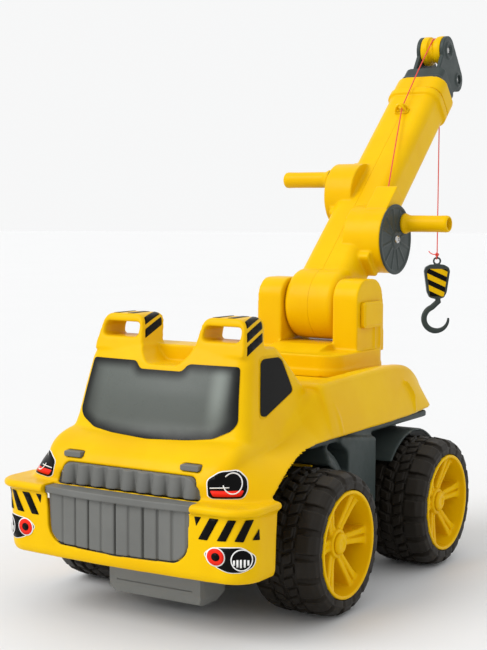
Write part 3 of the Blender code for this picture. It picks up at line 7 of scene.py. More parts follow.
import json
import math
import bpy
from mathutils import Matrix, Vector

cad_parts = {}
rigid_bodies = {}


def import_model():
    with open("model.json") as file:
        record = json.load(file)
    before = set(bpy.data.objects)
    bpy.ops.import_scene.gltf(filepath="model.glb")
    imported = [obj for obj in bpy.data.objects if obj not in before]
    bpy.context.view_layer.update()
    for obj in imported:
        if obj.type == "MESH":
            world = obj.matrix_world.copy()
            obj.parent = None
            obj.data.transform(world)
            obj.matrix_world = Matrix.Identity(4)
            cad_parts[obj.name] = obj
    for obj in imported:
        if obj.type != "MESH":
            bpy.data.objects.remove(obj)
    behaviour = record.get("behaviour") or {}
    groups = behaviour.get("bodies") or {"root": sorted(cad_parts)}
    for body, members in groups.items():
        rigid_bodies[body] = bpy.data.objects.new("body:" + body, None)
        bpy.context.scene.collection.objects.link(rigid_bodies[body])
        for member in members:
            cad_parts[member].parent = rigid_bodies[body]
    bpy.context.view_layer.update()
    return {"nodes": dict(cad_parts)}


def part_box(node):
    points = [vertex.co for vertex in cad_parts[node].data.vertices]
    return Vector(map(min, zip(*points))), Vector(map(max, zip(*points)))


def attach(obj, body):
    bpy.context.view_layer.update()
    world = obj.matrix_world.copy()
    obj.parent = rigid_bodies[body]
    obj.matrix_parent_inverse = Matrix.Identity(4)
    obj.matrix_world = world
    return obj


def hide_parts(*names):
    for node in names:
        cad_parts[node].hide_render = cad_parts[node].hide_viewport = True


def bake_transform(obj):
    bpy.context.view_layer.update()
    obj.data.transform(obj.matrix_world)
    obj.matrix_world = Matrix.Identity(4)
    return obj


bl_info = {
    "name": "Toy Crane Truck",
    "version": (1, 0, 0),
    "blender": (4, 5, 0),
    "location": "3D View > Sidebar > Crane Truck",
    "description": "Builds the moulded plastic, tyres, stickers, cord and stage of a toy crane truck",
    "category": "Object",
}

import bmesh
import bpy
from mathutils import Matrix, Vector
from mathutils.bvhtree import BVHTree

for leftover in list(bpy.data.objects):
    bpy.data.objects.remove(leftover, do_unlink=True)
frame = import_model()
NODES = frame["nodes"]


def middle(node):
    """Return the middle of a frame node's box."""
    low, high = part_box(node)
    return (low + high) / 2


SHIFT = Vector((0, middle("front_axle").y, 0))      # from truck coordinates to the frame
TYRE_RADIUS = (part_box("front_left_tyre")[1].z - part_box("front_left_tyre")[0].z) / 2
TYRE_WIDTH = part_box("front_left_tyre")[1].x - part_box("front_left_tyre")[0].x
WHEEL_X = middle("front_left_tyre").x
WHEELBASE = middle("rear_axle").y - middle("front_axle").y
PIVOT = middle("boom_pivot_pin") - SHIFT
SLEW_Y = middle("slew_retainer").y - SHIFT.y
BOOM_TILT = math.radians(43.0)

# shell
BUMPER_FRONT_Y = -0.184
BUMPER_BACK_Y = -0.118
BUMPER_HALF = 0.159
BUMPER_LOW_Z = 0.068
BRIM_Z = 0.137
BRIM_HEIGHT = 0.009
RIM_Z = 0.186
DECK_Z = 0.238
DECK_HALF = 0.105
DECK_FRONT_Y = 0.050
BODY_REAR_Y = 0.320
ROOF_Z = 0.291
BAR_INNER_X = 0.034
BAR_OUTER_X = 0.098
BAR_TOP_Z = 0.3245
BAR_FRONT_Y = -0.087
BAR_BACK_Y = -0.045
BAR_LEAN = 0.011
# wheels
RIM_RADIUS = 0.0591
HUB_RADIUS = 0.016
BORE_RADIUS = 0.0043
HUB_SET_BACK = 0.012
# boom frame: u runs along the boom, v is square to it
BOOM_HALF = 0.0366
BOOM_LOW_V = -0.022
BOOM_HIGH_V = 0.0365
BOOM_CORNER = 0.016
BOOM_END_U = 0.395
BOOM_WALL = 0.0028
KNUCKLE_RADIUS = 0.0453
CRANK_V = 0.0106
CRANK_THROW = 0.0304
HOUSING_RADIUS = 0.0445
DISC_RADIUS = 0.0464
INNER_DISC_RADIUS = 0.0410
WINCH_U = 0.1106
WINCH_FACE_X = 0.067
WINCH_HANDLE = 0.065
EXTEND_U = 0.195
EXTEND_FACE_X = 0.0516
EXTEND_HANDLE = 0.072
GUIDE_U = 0.345
SHEAVE_U = 0.4925
SHEAVE_V = 0.030
LOWER_PIN_U = 0.4915
LOWER_PIN_V = -0.0235
CORD_RADIUS = 0.0008
GROOVE_RADIUS = 0.0170
FALL_LENGTH = 0.303
KNOT_RADIUS = 0.0026
HOOK_TURN = 31.7
# crane base
EAR_FRONT_Y = 0.2216
EAR_BACK_Y = 0.2985
EAR_TOP_Z = 0.3535
EAR_OUTER_X = 0.072
BASE_HALF_X = 0.077
BASE_HALF_Y = 0.072
BASE_HEIGHT = 0.0265
SPIGOT_RADIUS = 0.030
# chassis
CHASSIS_HALF = 0.086
CHASSIS_FRONT_Y = -0.1045
CHASSIS_REAR_Y = 0.312
CHASSIS_WALL = 0.0035
POD_FRONT_Y = 0.088
POD_REAR_Y = 0.160
# fits and printing
SEAM = 0.0003           # gap between two pieces that touch
CORNER_TURN = math.radians(31.7)                    # how far the front corners' stickers face outwards
CAMERA_PLACE = (0.855, -1.5503, 0.4368)
SUN_DIRECTION = (0.42, 0.62, -0.62)
SUN_SOFTNESS = math.radians(34)
SKY_COLOUR = (0.995, 0.998, 1.0, 1.0)
DUST_COLOUR = (0.42, 0.40, 0.36, 1.0)


# ================================================================== settings
def colour_property(name, description, default):
    """Return a colour property with an alpha."""
    return bpy.props.FloatVectorProperty(name=name, description=description, subtype="COLOR",
                                         size=4, min=0.0, max=1.0, default=(*default, 1.0))


class CraneTruckColours(bpy.types.PropertyGroup):
    """Colours of the toy's plastics, stickers and cord."""
    yellow: colour_property("Yellow", "Moulded yellow plastic", (0.780, 0.478, 0.0006))
    yellow_deep: colour_property("Deep yellow", "Yellow in its denser patches", (0.745, 0.430, 0.0006))
    grey: colour_property("Grey", "Grille and step plastic", (0.150, 0.152, 0.143))
    slate: colour_property("Slate", "Chassis, crank discs, boom head and hook", (0.040, 0.053, 0.051))
    tyre: colour_property("Tyre", "Tyre plastic", (0.0110, 0.0085, 0.0055))
    ink: colour_property("Ink", "Black of the stickers", (0.003, 0.003, 0.003))
    red: colour_property("Red", "Red of the lamp stickers", (0.80, 0.025, 0.012))
    white: colour_property("White", "White of the lamp stickers", (0.85, 0.85, 0.83))
    pane: colour_property("Pane", "Middle of the windshield sticker", (0.108, 0.120, 0.110))
    cord: colour_property("Cord", "Red cord", (0.80, 0.035, 0.012))
    steel: colour_property("Steel", "Plated screws and axles", (0.62, 0.62, 0.61))
    floor: colour_property("Floor", "Studio floor", (0.752, 0.754, 0.756))


class CraneTruckSizes(bpy.types.PropertyGroup):
    """Sizes of the repeated and finer features."""
    lugs: bpy.props.IntProperty(name="Lugs", description="Shoulder lugs round a tyre",
                                default=18, min=8, max=40)
    lug_height: bpy.props.FloatProperty(name="Lug height", description="How far a lug stands out",
                                        default=0.0026, min=0.0, max=0.006, unit="LENGTH")
    spokes: bpy.props.IntProperty(name="Spokes", description="Spokes in a rim", default=6, min=3, max=12)
    upper_ribs: bpy.props.IntProperty(name="Upper ribs", description="Ribs in the upper grille",
                                      default=9, min=3, max=20)
    lower_slats: bpy.props.IntProperty(name="Lower slats", description="Slats in the lower grille",
                                       default=10, min=3, max=20)
    disc_ribs: bpy.props.IntProperty(name="Disc ribs", description="Ribs on a crank disc",
                                     default=12, min=4, max=24)


class CraneTruckStage(bpy.types.PropertyGroup):
    """The studio round the toy."""
    lens: bpy.props.FloatProperty(name="Lens", description="Focal length in millimetres",
                                  default=76.64, min=20, max=200)
    azimuth: bpy.props.FloatProperty(name="Azimuth", description="Camera angle round the toy",
                                     default=math.radians(31.735), subtype="ANGLE")
    elevation: bpy.props.FloatProperty(name="Elevation", description="Camera angle above the floor",
                                       default=math.radians(4.651), subtype="ANGLE")
    roll: bpy.props.FloatProperty(name="Roll", description="Camera roll",
                                  default=math.radians(0.283), subtype="ANGLE")
    key: bpy.props.FloatProperty(name="Key", description="Strength of the soft sun", default=1.7,
                                 min=0, max=20)
    sky: bpy.props.FloatProperty(name="Sky", description="Strength of the even light", default=0.935,
                                 min=0, max=4)


# ================================================================== mesh tools
def mesh_object(bm, name="shape"):
    """Turn a bmesh into an object with merged points and outward faces."""
    bmesh.ops.remove_doubles(bm, verts=bm.verts, dist=1e-6)
    bmesh.ops.recalc_face_normals(bm, faces=bm.faces)
    mesh = bpy.data.meshes.new(name)
    bm.to_mesh(mesh)
    bm.free()
    made = bpy.data.objects.new(name, mesh)
    bpy.context.scene.collection.objects.link(made)
    return made


def loft(loops):
    """Return a closed solid through loops with equal numbers of points."""
    bm = bmesh.new()
    rows = [[bm.verts.new(point) for point in loop] for loop in loops]
    count = len(rows[0])
    for low, high in zip(rows, rows[1:]):
        for i in range(count):
            j = (i + 1) % count
            bm.faces.new((low[i], low[j], high[j], high[i]))
    bm.faces.new(rows[0][::-1])
    bm.faces.new(rows[-1])
    return mesh_object(bm)


def prism(outline, axis, low, high):
    """Extrude a closed 2D outline along an axis, from low to high."""
    spots = {"X": lambda a, b, at: (at, a, b), "Y": lambda a, b, at: (a, at, b),
             "Z": lambda a, b, at: (a, b, at)}[axis]
    return loft([[spots(a, b, at) for a, b in outline] for at in (low, high)])


def box(x0, x1, y0, y1, z0, z1):
    """Return a rectangular block."""
    return prism([(x0, y0), (x1, y0), (x1, y1), (x0, y1)], "Z", z0, z1)


def arc(centre, radius, start, end, steps):
    """Return points along an arc, with its angles in degrees."""
    angles = [math.radians(start + (end - start) * i / steps) for i in range(steps + 1)]
    return [(centre[0] + radius * math.cos(a), centre[1] + radius * math.sin(a)) for a in angles]


def circle(centre, radius, segments=72):
    """Return the points of a circle."""
    return arc(centre, radius, 0, 360, segments)[:-1]


def rounded(x0, x1, y0, y1, radius, steps=8):
    """Return the outline of a rounded rectangle."""
    return (arc((x1 - radius, y1 - radius), radius, 0, 90, steps)
            + arc((x0 + radius, y1 - radius), radius, 90, 180, steps)
            + arc((x0 + radius, y0 + radius), radius, 180, 270, steps)
            + arc((x1 - radius, y0 + radius), radius, 270, 360, steps))


def soften(outline, radius, steps=5):
    """Round every corner of a closed outline."""
    points = [Vector(p) for p in outline]
    made = []
    for before, corner, after in zip(points[-1:] + points[:-1], points, points[1:] + points[:1]):
        reach = min(radius, (before - corner).length * 0.45, (after - corner).length * 0.45)
        start = corner + (before - corner).normalized() * reach
        end = corner + (after - corner).normalized() * reach
        for i in range(steps + 1):
            t = i / steps
            made.append(tuple(start * (1 - t) ** 2 + corner * 2 * t * (1 - t) + end * t * t))
    return made


def lathe(profile, segments=96, centre=(0.0, 0.0)):
    """Turn a closed outline of (x, radius) points around an axis along X."""
    bm = bmesh.new()
    rings = []
    for x, radius in profile:
        if radius < 1e-7:
            rings.append([bm.verts.new((x, centre[0], centre[1]))] * segments)
            continue
        rings.append([bm.verts.new((x, a, b)) for a, b in circle(centre, radius, segments)])
    for ring, after in zip(rings, rings[1:] + rings[:1]):
        for i in range(segments):
            j = (i + 1) % segments
            corners = []
            for vertex in (ring[i], ring[j], after[j], after[i]):
                if vertex not in corners:
                    corners.append(vertex)
            if len(corners) > 2:
                bm.faces.new(corners)
    return mesh_object(bm)


def rod(x0, x1, radius, centre=(0.0, 0.0), segments=72):
    """Return a solid cylinder along X."""
    return lathe([(x0, 0), (x0, radius), (x1, radius), (x1, 0)], segments, centre)


def sideways(outline, side, x0, x1):
    """Extrude a (y, z) outline between two distances from the middle, on one side."""
    return prism(outline, "X", min(x0 * side, x1 * side), max(x0 * side, x1 * side))


def upright(item):
    """Stand a piece that was turned about X on end, about Z."""
    item.data.transform(Matrix.Rotation(math.radians(-90), 4, "Y"))
    return item


def post(z0, z1, radius, centre=(0.0, 0.0), segments=72):
    """Return a solid cylinder along Z."""
    return prism(circle(centre, radius, segments), "Z", z0, z1)


def evaluated(item):
    """Bake an object's modifiers into its mesh."""
    graph = bpy.context.evaluated_depsgraph_get()
    shaped = bpy.data.meshes.new_from_object(item.evaluated_get(graph))
    item.modifiers.clear()
    item.data = shaped
    return item


def combine(base, tools, operation):
    """Apply Booleans to base and remove the tools."""
    for tool in tools:
        modifier = base.modifiers.new("cut", "BOOLEAN")
        modifier.operation = operation
        modifier.solver = "MANIFOLD"
        modifier.object = tool
        evaluated(base)
        bpy.data.objects.remove(tool, do_unlink=True)
    return base


def cut(base, *tools):
    """Take the tools away from base."""
    return combine(base, tools, "DIFFERENCE")


def fuse(base, *tools):
    """Join the tools to base as one solid."""
    return combine(base, tools, "UNION")


def trim(base, *tools):
    """Keep only what base shares with the tools."""
    return combine(base, tools, "INTERSECT")


def join(*items):
    """Put several meshes into the first object without a Boolean."""
    bm = bmesh.new()
    for item in items:
        item.data.transform(item.matrix_world)
        item.matrix_world = Matrix.Identity(4)
        bm.from_mesh(item.data)
    for item in items[1:]:
        bpy.data.objects.remove(item, do_unlink=True)
    bm.to_mesh(items[0].data)
    bm.free()
    return items[0]


def mould(item, voxel, rounds=3, factor=0.5):
    """Round every edge of a solid as a moulding's edges are, with voxels and some smoothing."""
    skin = item.modifiers.new("skin", "REMESH")
    skin.mode = "VOXEL"
    skin.voxel_size = voxel
    skin.use_smooth_shade = True
    ease = item.modifiers.new("ease", "SMOOTH")
    ease.factor = factor
    ease.iterations = rounds
    return evaluated(item)


def slim(item, triangles):
    """Thin a mesh's flatter areas until it has about a given number of triangles."""
    count = sum(len(face.vertices) - 2 for face in item.data.polygons)
    if count > triangles:
        thin = item.modifiers.new("thin", "DECIMATE")
        thin.ratio = triangles / count
        evaluated(item)
    return item


def copy_of(item):
    """Return a copy of an object with its own mesh."""
    made = item.copy()
    made.data = item.data.copy()
    bpy.context.scene.collection.objects.link(made)
    return made


def mirror(item):
    """Mirror an object's mesh in the plane X = 0."""
    item.data.transform(Matrix.Scale(-1, 4, (1, 0, 0)))
    item.data.flip_normals()
    return item


def mirrored(item):
    """Return a mirrored copy of an object."""
    return mirror(copy_of(item))


def moved(item, x=0.0, y=0.0, z=0.0):
    """Move an object's mesh."""
    item.data.transform(Matrix.Translation((x, y, z)))
    return item


def in_boom(item):
    """Move a mesh from the boom's frame to truck coordinates."""
    item.data.transform(Matrix.Translation(PIVOT) @ Matrix.Rotation(BOOM_TILT, 4, "X"))
    return item


def boom_point(x, u, v):
    """Return the frame's place of a point in the boom's frame."""
    return PIVOT + Matrix.Rotation(BOOM_TILT, 3, "X") @ Vector((x, u, v)) + SHIFT


def finish(item, name, body, skin, replaces=(), sharp=None):
    """Name a piece, move it into the frame, give it its material and hang it on its body."""
    item.name = name
    item.data.name = name
    item.data.transform(Matrix.Translation(SHIFT))
    item.data.materials.clear()
    for one in (skin if isinstance(skin, (list, tuple)) else [skin]):
        item.data.materials.append(one)
    item.data.shade_smooth()
    if sharp:
        item.data.set_sharp_from_angle(angle=math.radians(sharp))
    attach(item, body)
    if replaces:
        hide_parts(*replaces)
    return item


def catmull(rows, steps):
    """Return rows of numbers along a smooth curve through the given rows."""
    ends = [rows[0]] + list(rows) + [rows[-1]]
    made = []
    for a, b, c, d in zip(ends, ends[1:], ends[2:], ends[3:]):
        for i in range(steps):
            t = i / steps
            made.append(tuple(0.5 * (2 * q + (r - p) * t + (2 * p - 5 * q + 4 * r - s) * t * t
                                     + (3 * q - p - 3 * r + s) * t ** 3)
                              for p, q, r, s in zip(a, b, c, d)))
    return made + [tuple(rows[-1])]


# ================================================================== geometry nodes
def new_tree(name, sockets):
    """Return a new geometry node tree with a geometry input, more inputs and a geometry output."""
    tree = bpy.data.node_groups.new(name, "GeometryNodeTree")
    tree.interface.new_socket("Geometry", in_out="INPUT", socket_type="NodeSocketGeometry")
    for label, kind in sockets:
        tree.interface.new_socket(label, in_out="INPUT", socket_type=kind)
    tree.interface.new_socket("Geometry", in_out="OUTPUT", socket_type="NodeSocketGeometry")
    source = tree.nodes.new("NodeGroupInput")
    sink = tree.nodes.new("NodeGroupOutput")
    return tree, source, sink


def maths(tree, operation, a, b=None, c=None):
    """Add a math node between sockets or numbers and return its output."""
    node = tree.nodes.new("ShaderNodeMath")
    node.operation = operation
    for slot, value in zip(node.inputs, (a, b, c)):
        if value is None:
            continue
        if isinstance(value, (int, float)):
            slot.default_value = value
        else:
            tree.links.new(value, slot)
    return node.outputs[0]


def close_tree(tree, source, sink, geometry):
    """End a tree in Realize Instances and Set Material."""
    real = tree.nodes.new("GeometryNodeRealizeInstances")
    paint = tree.nodes.new("GeometryNodeSetMaterial")
    tree.links.new(geometry, real.inputs[0])
    tree.links.new(real.outputs[0], paint.inputs["Geometry"])
    tree.links.new(source.outputs["Material"], paint.inputs["Material"])
    tree.links.new(paint.outputs[0], sink.inputs[0])


def ring_tree():
    """Copies of a piece, turned in even steps about the X axis."""
    tree, source, sink = new_tree("crane_ring", [("Count", "NodeSocketInt"),
                                                 ("Start", "NodeSocketFloat"),
                                                 ("Material", "NodeSocketMaterial")])
    points = tree.nodes.new("GeometryNodePoints")
    tree.links.new(source.outputs["Count"], points.inputs["Count"])
    index = tree.nodes.new("GeometryNodeInputIndex")
    step = maths(tree, "DIVIDE", 2 * math.pi, source.outputs["Count"])
    turn = maths(tree, "MULTIPLY_ADD", index.outputs[0], step, source.outputs["Start"])
    euler = tree.nodes.new("ShaderNodeCombineXYZ")
    tree.links.new(turn, euler.inputs["X"])
    spread = tree.nodes.new("GeometryNodeInstanceOnPoints")
    tree.links.new(points.outputs[0], spread.inputs["Points"])
    tree.links.new(source.outputs["Geometry"], spread.inputs["Instance"])
    tree.links.new(euler.outputs[0], spread.inputs["Rotation"])
    close_tree(tree, source, sink, spread.outputs[0])
    return tree


def row_tree():
    """Copies of a piece in a row along X, bowed along Y towards both ends."""
    tree, source, sink = new_tree("crane_row", [("Count", "NodeSocketInt"),
                                                ("Spacing", "NodeSocketFloat"),
                                                ("Bow", "NodeSocketFloat"),
                                                ("Material", "NodeSocketMaterial")])
    points = tree.nodes.new("GeometryNodePoints")
    tree.links.new(source.outputs["Count"], points.inputs["Count"])
    index = tree.nodes.new("GeometryNodeInputIndex")
    half = maths(tree, "MULTIPLY", maths(tree, "SUBTRACT", source.outputs["Count"], 1), 0.5)
    place = maths(tree, "SUBTRACT", index.outputs[0], half)
    across = maths(tree, "MULTIPLY", place, source.outputs["Spacing"])
    share = maths(tree, "DIVIDE", place, half)
    back = maths(tree, "MULTIPLY", maths(tree, "MULTIPLY", share, share), source.outputs["Bow"])
    spot = tree.nodes.new("ShaderNodeCombineXYZ")
    tree.links.new(across, spot.inputs["X"])
    tree.links.new(back, spot.inputs["Y"])
    tree.links.new(spot.outputs[0], points.inputs["Position"])
    spread = tree.nodes.new("GeometryNodeInstanceOnPoints")
    tree.links.new(points.outputs[0], spread.inputs["Points"])
    tree.links.new(source.outputs["Geometry"], spread.inputs["Instance"])
    close_tree(tree, source, sink, spread.outputs[0])
    return tree


def grow(item, build, **values):
    """Run a geometry node tree on a piece and keep its mesh."""
    name = build.__name__
    tree = bpy.data.node_groups.get("crane_" + name.split("_")[0]) or build()
    modifier = item.modifiers.new(name, "NODES")
    modifier.node_group = tree
    for socket in tree.interface.items_tree:
        if socket.in_out == "INPUT" and socket.name in values:
            modifier[socket.identifier] = values[socket.name]
    return evaluated(item)


def ring_of(item, count, skin, start=0.0):
    """Repeat a piece round the X axis."""
    return grow(item, ring_tree, Count=count, Start=start, Material=skin)


def row_of(item, count, spacing, skin, bow=0.0):
    """Repeat a piece along X."""
    return grow(item, row_tree, Count=count, Spacing=spacing, Bow=bow, Material=skin)


# ================================================================== materials
def shader_group(name, inputs, outputs):
    """Return a new shader node group and its input and output nodes."""
    tree = bpy.data.node_groups.new(name, "ShaderNodeTree")
    for label, value in inputs:
        socket = tree.interface.new_socket(label, in_out="INPUT", socket_type="NodeSocketFloat")
        socket.default_value = value
    for label, kind in outputs:
        tree.interface.new_socket(label, in_out="OUTPUT", socket_type=kind)
    return tree, tree.nodes.new("NodeGroupInput"), tree.nodes.new("NodeGroupOutput")


def noise(tree, coordinate, scale, detail=3.0, rough=0.55):
    """Add a noise texture on a coordinate and return its value output."""
    node = tree.nodes.new("ShaderNodeTexNoise")
    tree.links.new(coordinate, node.inputs["Vector"])
    if isinstance(scale, (int, float)):
        node.inputs["Scale"].default_value = scale
    else:
        tree.links.new(scale, node.inputs["Scale"])
    node.inputs["Detail"].default_value = detail
    node.inputs["Roughness"].default_value = rough
    return node.outputs["Fac"]


def span(tree, value, low, high, to_low=0.0, to_high=1.0):
    """Map a value's span smoothly onto another and return the output."""
    node = tree.nodes.new("ShaderNodeMapRange")
    node.interpolation_type = "SMOOTHSTEP"
    tree.links.new(value, node.inputs["Value"])
    for label, number in (("From Min", low), ("From Max", high), ("To Min", to_low),
                          ("To Max", to_high)):
        node.inputs[label].default_value = number
    return node.outputs["Result"]


def grain_group():
    """The fine texture of a mould, with slow unevenness in colour and gloss."""
    group = bpy.data.node_groups.get("crane_grain")
    if group:
        return group
    group, source, sink = shader_group(
        "crane_grain", [("Grain Scale", 900.0), ("Cloud Scale", 14.0), ("Gloss Low", 0.3),
                        ("Gloss High", 0.4)],
        [("Height", "NodeSocketFloat"), ("Cloud", "NodeSocketFloat"), ("Gloss", "NodeSocketFloat")])
    spot = group.nodes.new("ShaderNodeTexCoord").outputs["Object"]
    fine = noise(group, spot, source.outputs["Grain Scale"], 2.0, 0.5)
    cloud = noise(group, spot, source.outputs["Cloud Scale"], 3.0, 0.6)
    smear = noise(group, spot, 60.0, 4.0, 0.65)
    ripple = noise(group, spot, 22.0, 1.0, 0.4)
    group.links.new(maths(group, "MULTIPLY_ADD", ripple, 3.0, fine), sink.inputs["Height"])
    group.links.new(span(group, cloud, 0.32, 0.68), sink.inputs["Cloud"])
    blend = group.nodes.new("ShaderNodeMix")
    group.links.new(span(group, smear, 0.30, 0.70), blend.inputs["Factor"])
    group.links.new(source.outputs["Gloss Low"], blend.inputs["A"])
    group.links.new(source.outputs["Gloss High"], blend.inputs["B"])
    group.links.new(blend.outputs["Result"], sink.inputs["Gloss"])
    return group


def wear_group():
    """Fine rubbed scratches and a thin film of dust that settles on what faces up."""
    group = bpy.data.node_groups.get("crane_wear")
    if group:
        return group
    group, source, sink = shader_group(
        "crane_wear", [("Scratch", 0.5), ("Dust", 0.3)],
        [("Scratches", "NodeSocketFloat"), ("Dust", "NodeSocketFloat")])
    spot = group.nodes.new("ShaderNodeTexCoord").outputs["Object"]
    stretch = group.nodes.new("ShaderNodeMapping")
    stretch.inputs["Rotation"].default_value = (0.5, 0.35, 0.8)
    stretch.inputs["Scale"].default_value = (1.0, 1.0, 22.0)
    group.links.new(spot, stretch.inputs["Vector"])
    lines = span(group, noise(group, stretch.outputs[0], 34.0, 5.0, 0.7), 0.64, 0.72)
    patch = span(group, noise(group, spot, 18.0, 2.0, 0.5), 0.50, 0.66)
    group.links.new(maths(group, "MULTIPLY", maths(group, "MULTIPLY", lines, patch),
                          source.outputs["Scratch"]), sink.inputs["Scratches"])
    geometry = group.nodes.new("ShaderNodeNewGeometry")
    split = group.nodes.new("ShaderNodeSeparateXYZ")
    group.links.new(geometry.outputs["Normal"], split.inputs[0])
    up = span(group, split.outputs["Z"], 0.45, 1.0)
    film = span(group, noise(group, spot, 30.0, 5.0, 0.7), 0.30, 0.75, 0.25, 1.0)
    group.links.new(maths(group, "MULTIPLY", maths(group, "MULTIPLY", up, film),
                          source.outputs["Dust"]), sink.inputs["Dust"])
    return group


def blank_material(name):
    """Return a new material with its tree and its Principled shader."""
    made = bpy.data.materials.new(name)
    made.use_nodes = True
    return made, made.node_tree, made.node_tree.nodes["Principled BSDF"]


def place_group(tree, group, **values):
    """Place a shader group in a material and set its inputs."""
    node = tree.nodes.new("ShaderNodeGroup")
    node.node_tree = group
    for label, value in values.items():
        node.inputs[label.replace("_", " ")].default_value = value
    return node


def mix_colour(tree, factor, a, b):
    """Mix two colours, each a socket or a tuple, and return the output."""
    node = tree.nodes.new("ShaderNodeMix")
    node.data_type = "RGBA"
    if isinstance(factor, (int, float)):
        node.inputs["Factor"].default_value = factor
    else:
        tree.links.new(factor, node.inputs["Factor"])
    for label, value in (("A", a), ("B", b)):
        socket = [s for s in node.inputs if s.name == label and s.type == "RGBA"][0]
        if hasattr(value, "links"):
            tree.links.new(value, socket)
        else:
            socket.default_value = tuple(value)
    return [s for s in node.outputs if s.type == "RGBA"][0]


def bump(tree, shader, height, strength, distance):
    """Feed a height through a Bump node into the shader's normal."""
    node = tree.nodes.new("ShaderNodeBump")
    node.inputs["Strength"].default_value = strength
    node.inputs["Distance"].default_value = distance
    tree.links.new(height, node.inputs["Height"])
    tree.links.new(node.outputs[0], shader.inputs["Normal"])


def plastic(name, colour, deep, gloss, grain=0.35, dust=0.05, scratch=0.3, grain_scale=900.0, shine=0.2):
    """Return a moulded plastic: clouded colour, uneven gloss, fine grain, scratches and dust."""
    found = bpy.data.materials.get(name)
    if found:
        return found
    made, tree, shader = blank_material(name)
    mould_grain = place_group(tree, grain_group(), Grain_Scale=grain_scale, Cloud_Scale=11.0,
                              Gloss_Low=gloss[0], Gloss_High=gloss[1])
    wear = place_group(tree, wear_group(), Scratch=scratch, Dust=dust)
    base = mix_colour(tree, mould_grain.outputs["Cloud"], colour, deep)
    pale = [min(1.0, c * 1.25 + 0.02) for c in colour[:3]] + [1.0]
    base = mix_colour(tree, wear.outputs["Scratches"], base, pale)
    base = mix_colour(tree, wear.outputs["Dust"], base, DUST_COLOUR)
    tree.links.new(base, shader.inputs["Base Color"])
    rough = maths(tree, "MULTIPLY_ADD", wear.outputs["Dust"], 0.5, mould_grain.outputs["Gloss"])
    rough = maths(tree, "MULTIPLY_ADD", wear.outputs["Scratches"], 0.25, rough)
    tree.links.new(rough, shader.inputs["Roughness"])
    shader.inputs["Specular IOR Level"].default_value = shine
    bump(tree, shader, mould_grain.outputs["Height"], grain, 0.0002)
    return made


def tone(key):
    """Return a colour from the settings."""
    return tuple(getattr(bpy.context.scene.crane_colours, key))


def shade(colour, factor):
    """Return a colour scaled in brightness."""
    return tuple([c * factor for c in colour[:3]] + [1.0])


def yellow():
    """The truck's yellow moulded plastic."""
    return plastic("yellow_plastic", tone("yellow"), tone("yellow_deep"), (0.28, 0.38), 0.30, 0.01, 0.20,
                   shine=0.07)


def rim_yellow():
    """The rims' yellow, a little smoother than the shell's."""
    return plastic("rim_plastic", tone("yellow"), tone("yellow_deep"), (0.26, 0.34), 0.2, 0.01, 0.20,
                   shine=0.06)


def grey():
    """The grille's grey plastic."""
    return plastic("grey_plastic", tone("grey"), shade(tone("grey"), 0.86), (0.42, 0.52), 0.35, 0.06, 0.35)


def step_grey():
    """The front step's paler grey plastic: the grille's grey painted paler, as painted light against the bumper's
    shadow over it.
    """
    # painted light: the grille's grey raised 1.75 times so the step in the bumper's shadow reads paler
    return plastic("step_plastic", shade(tone("grey"), 1.75), shade(tone("grey"), 1.55), (0.42, 0.52),
                   0.35, 0.06, 0.35)


def slate():
    """The chassis' dark blue-grey plastic."""
    return plastic("slate_plastic", tone("slate"), shade(tone("slate"), 0.82), (0.38, 0.50), 0.35, 0.06, 0.35)


def tyre_plastic():
    """The tyres' brown-black blown plastic, with faint streaks from its mould."""
    return plastic("tyre_plastic", tone("tyre"), shade(tone("tyre"), 1.35), (0.44, 0.60), 0.55, 0.05, 0.55,
                   grain_scale=500.0)


def ink(name="sticker_ink", key="ink", gloss=0.28):
    """A sticker's printed colour under its clear film."""
    return plastic(name, tone(key), shade(tone(key), 0.93), (gloss, gloss + 0.07), 0.1, 0.01, 0.10,
                   shine=0.06)


def steel():
    """Plated steel with fine turning marks."""
    found = bpy.data.materials.get("plated_steel")
    if found:
        return found
    made, tree, shader = blank_material("plated_steel")
    mould_grain = place_group(tree, grain_group(), Grain_Scale=1500.0, Cloud_Scale=60.0,
                              Gloss_Low=0.20, Gloss_High=0.34)
    base = mix_colour(tree, mould_grain.outputs["Cloud"], tone("steel"), shade(tone("steel"), 0.8))
    tree.links.new(base, shader.inputs["Base Color"])
    tree.links.new(mould_grain.outputs["Gloss"], shader.inputs["Roughness"])
    shader.inputs["Metallic"].default_value = 1.0
    bump(tree, shader, mould_grain.outputs["Height"], 0.25, 0.0001)
    return made


def cord_fibre():
    """Red twisted cord, darkened in the grooves between its strands as painted shade, from the piece's own
    attribute.
    """
    found = bpy.data.materials.get("red_cord")
    if found:
        return found
    made, tree, shader = blank_material("red_cord")
    strand = tree.nodes.new("ShaderNodeAttribute")
    strand.attribute_name = "strand"
    fibre = noise(tree, tree.nodes.new("ShaderNodeTexCoord").outputs["Object"], 2500.0, 2.0, 0.6)
    # painted shade: the cord's red is darkened in the grooves between its strands
    shape = maths(tree, "MULTIPLY_ADD", fibre, 0.35, strand.outputs["Fac"])
    base = mix_colour(tree, shape, shade(tone("cord"), 0.62), tone("cord"))
    tree.links.new(base, shader.inputs["Base Color"])
    shader.inputs["Roughness"].default_value = 0.72
    shader.inputs["Sheen Weight"].default_value = 0.25
    bump(tree, shader, fibre, 0.4, 0.0001)
    return made


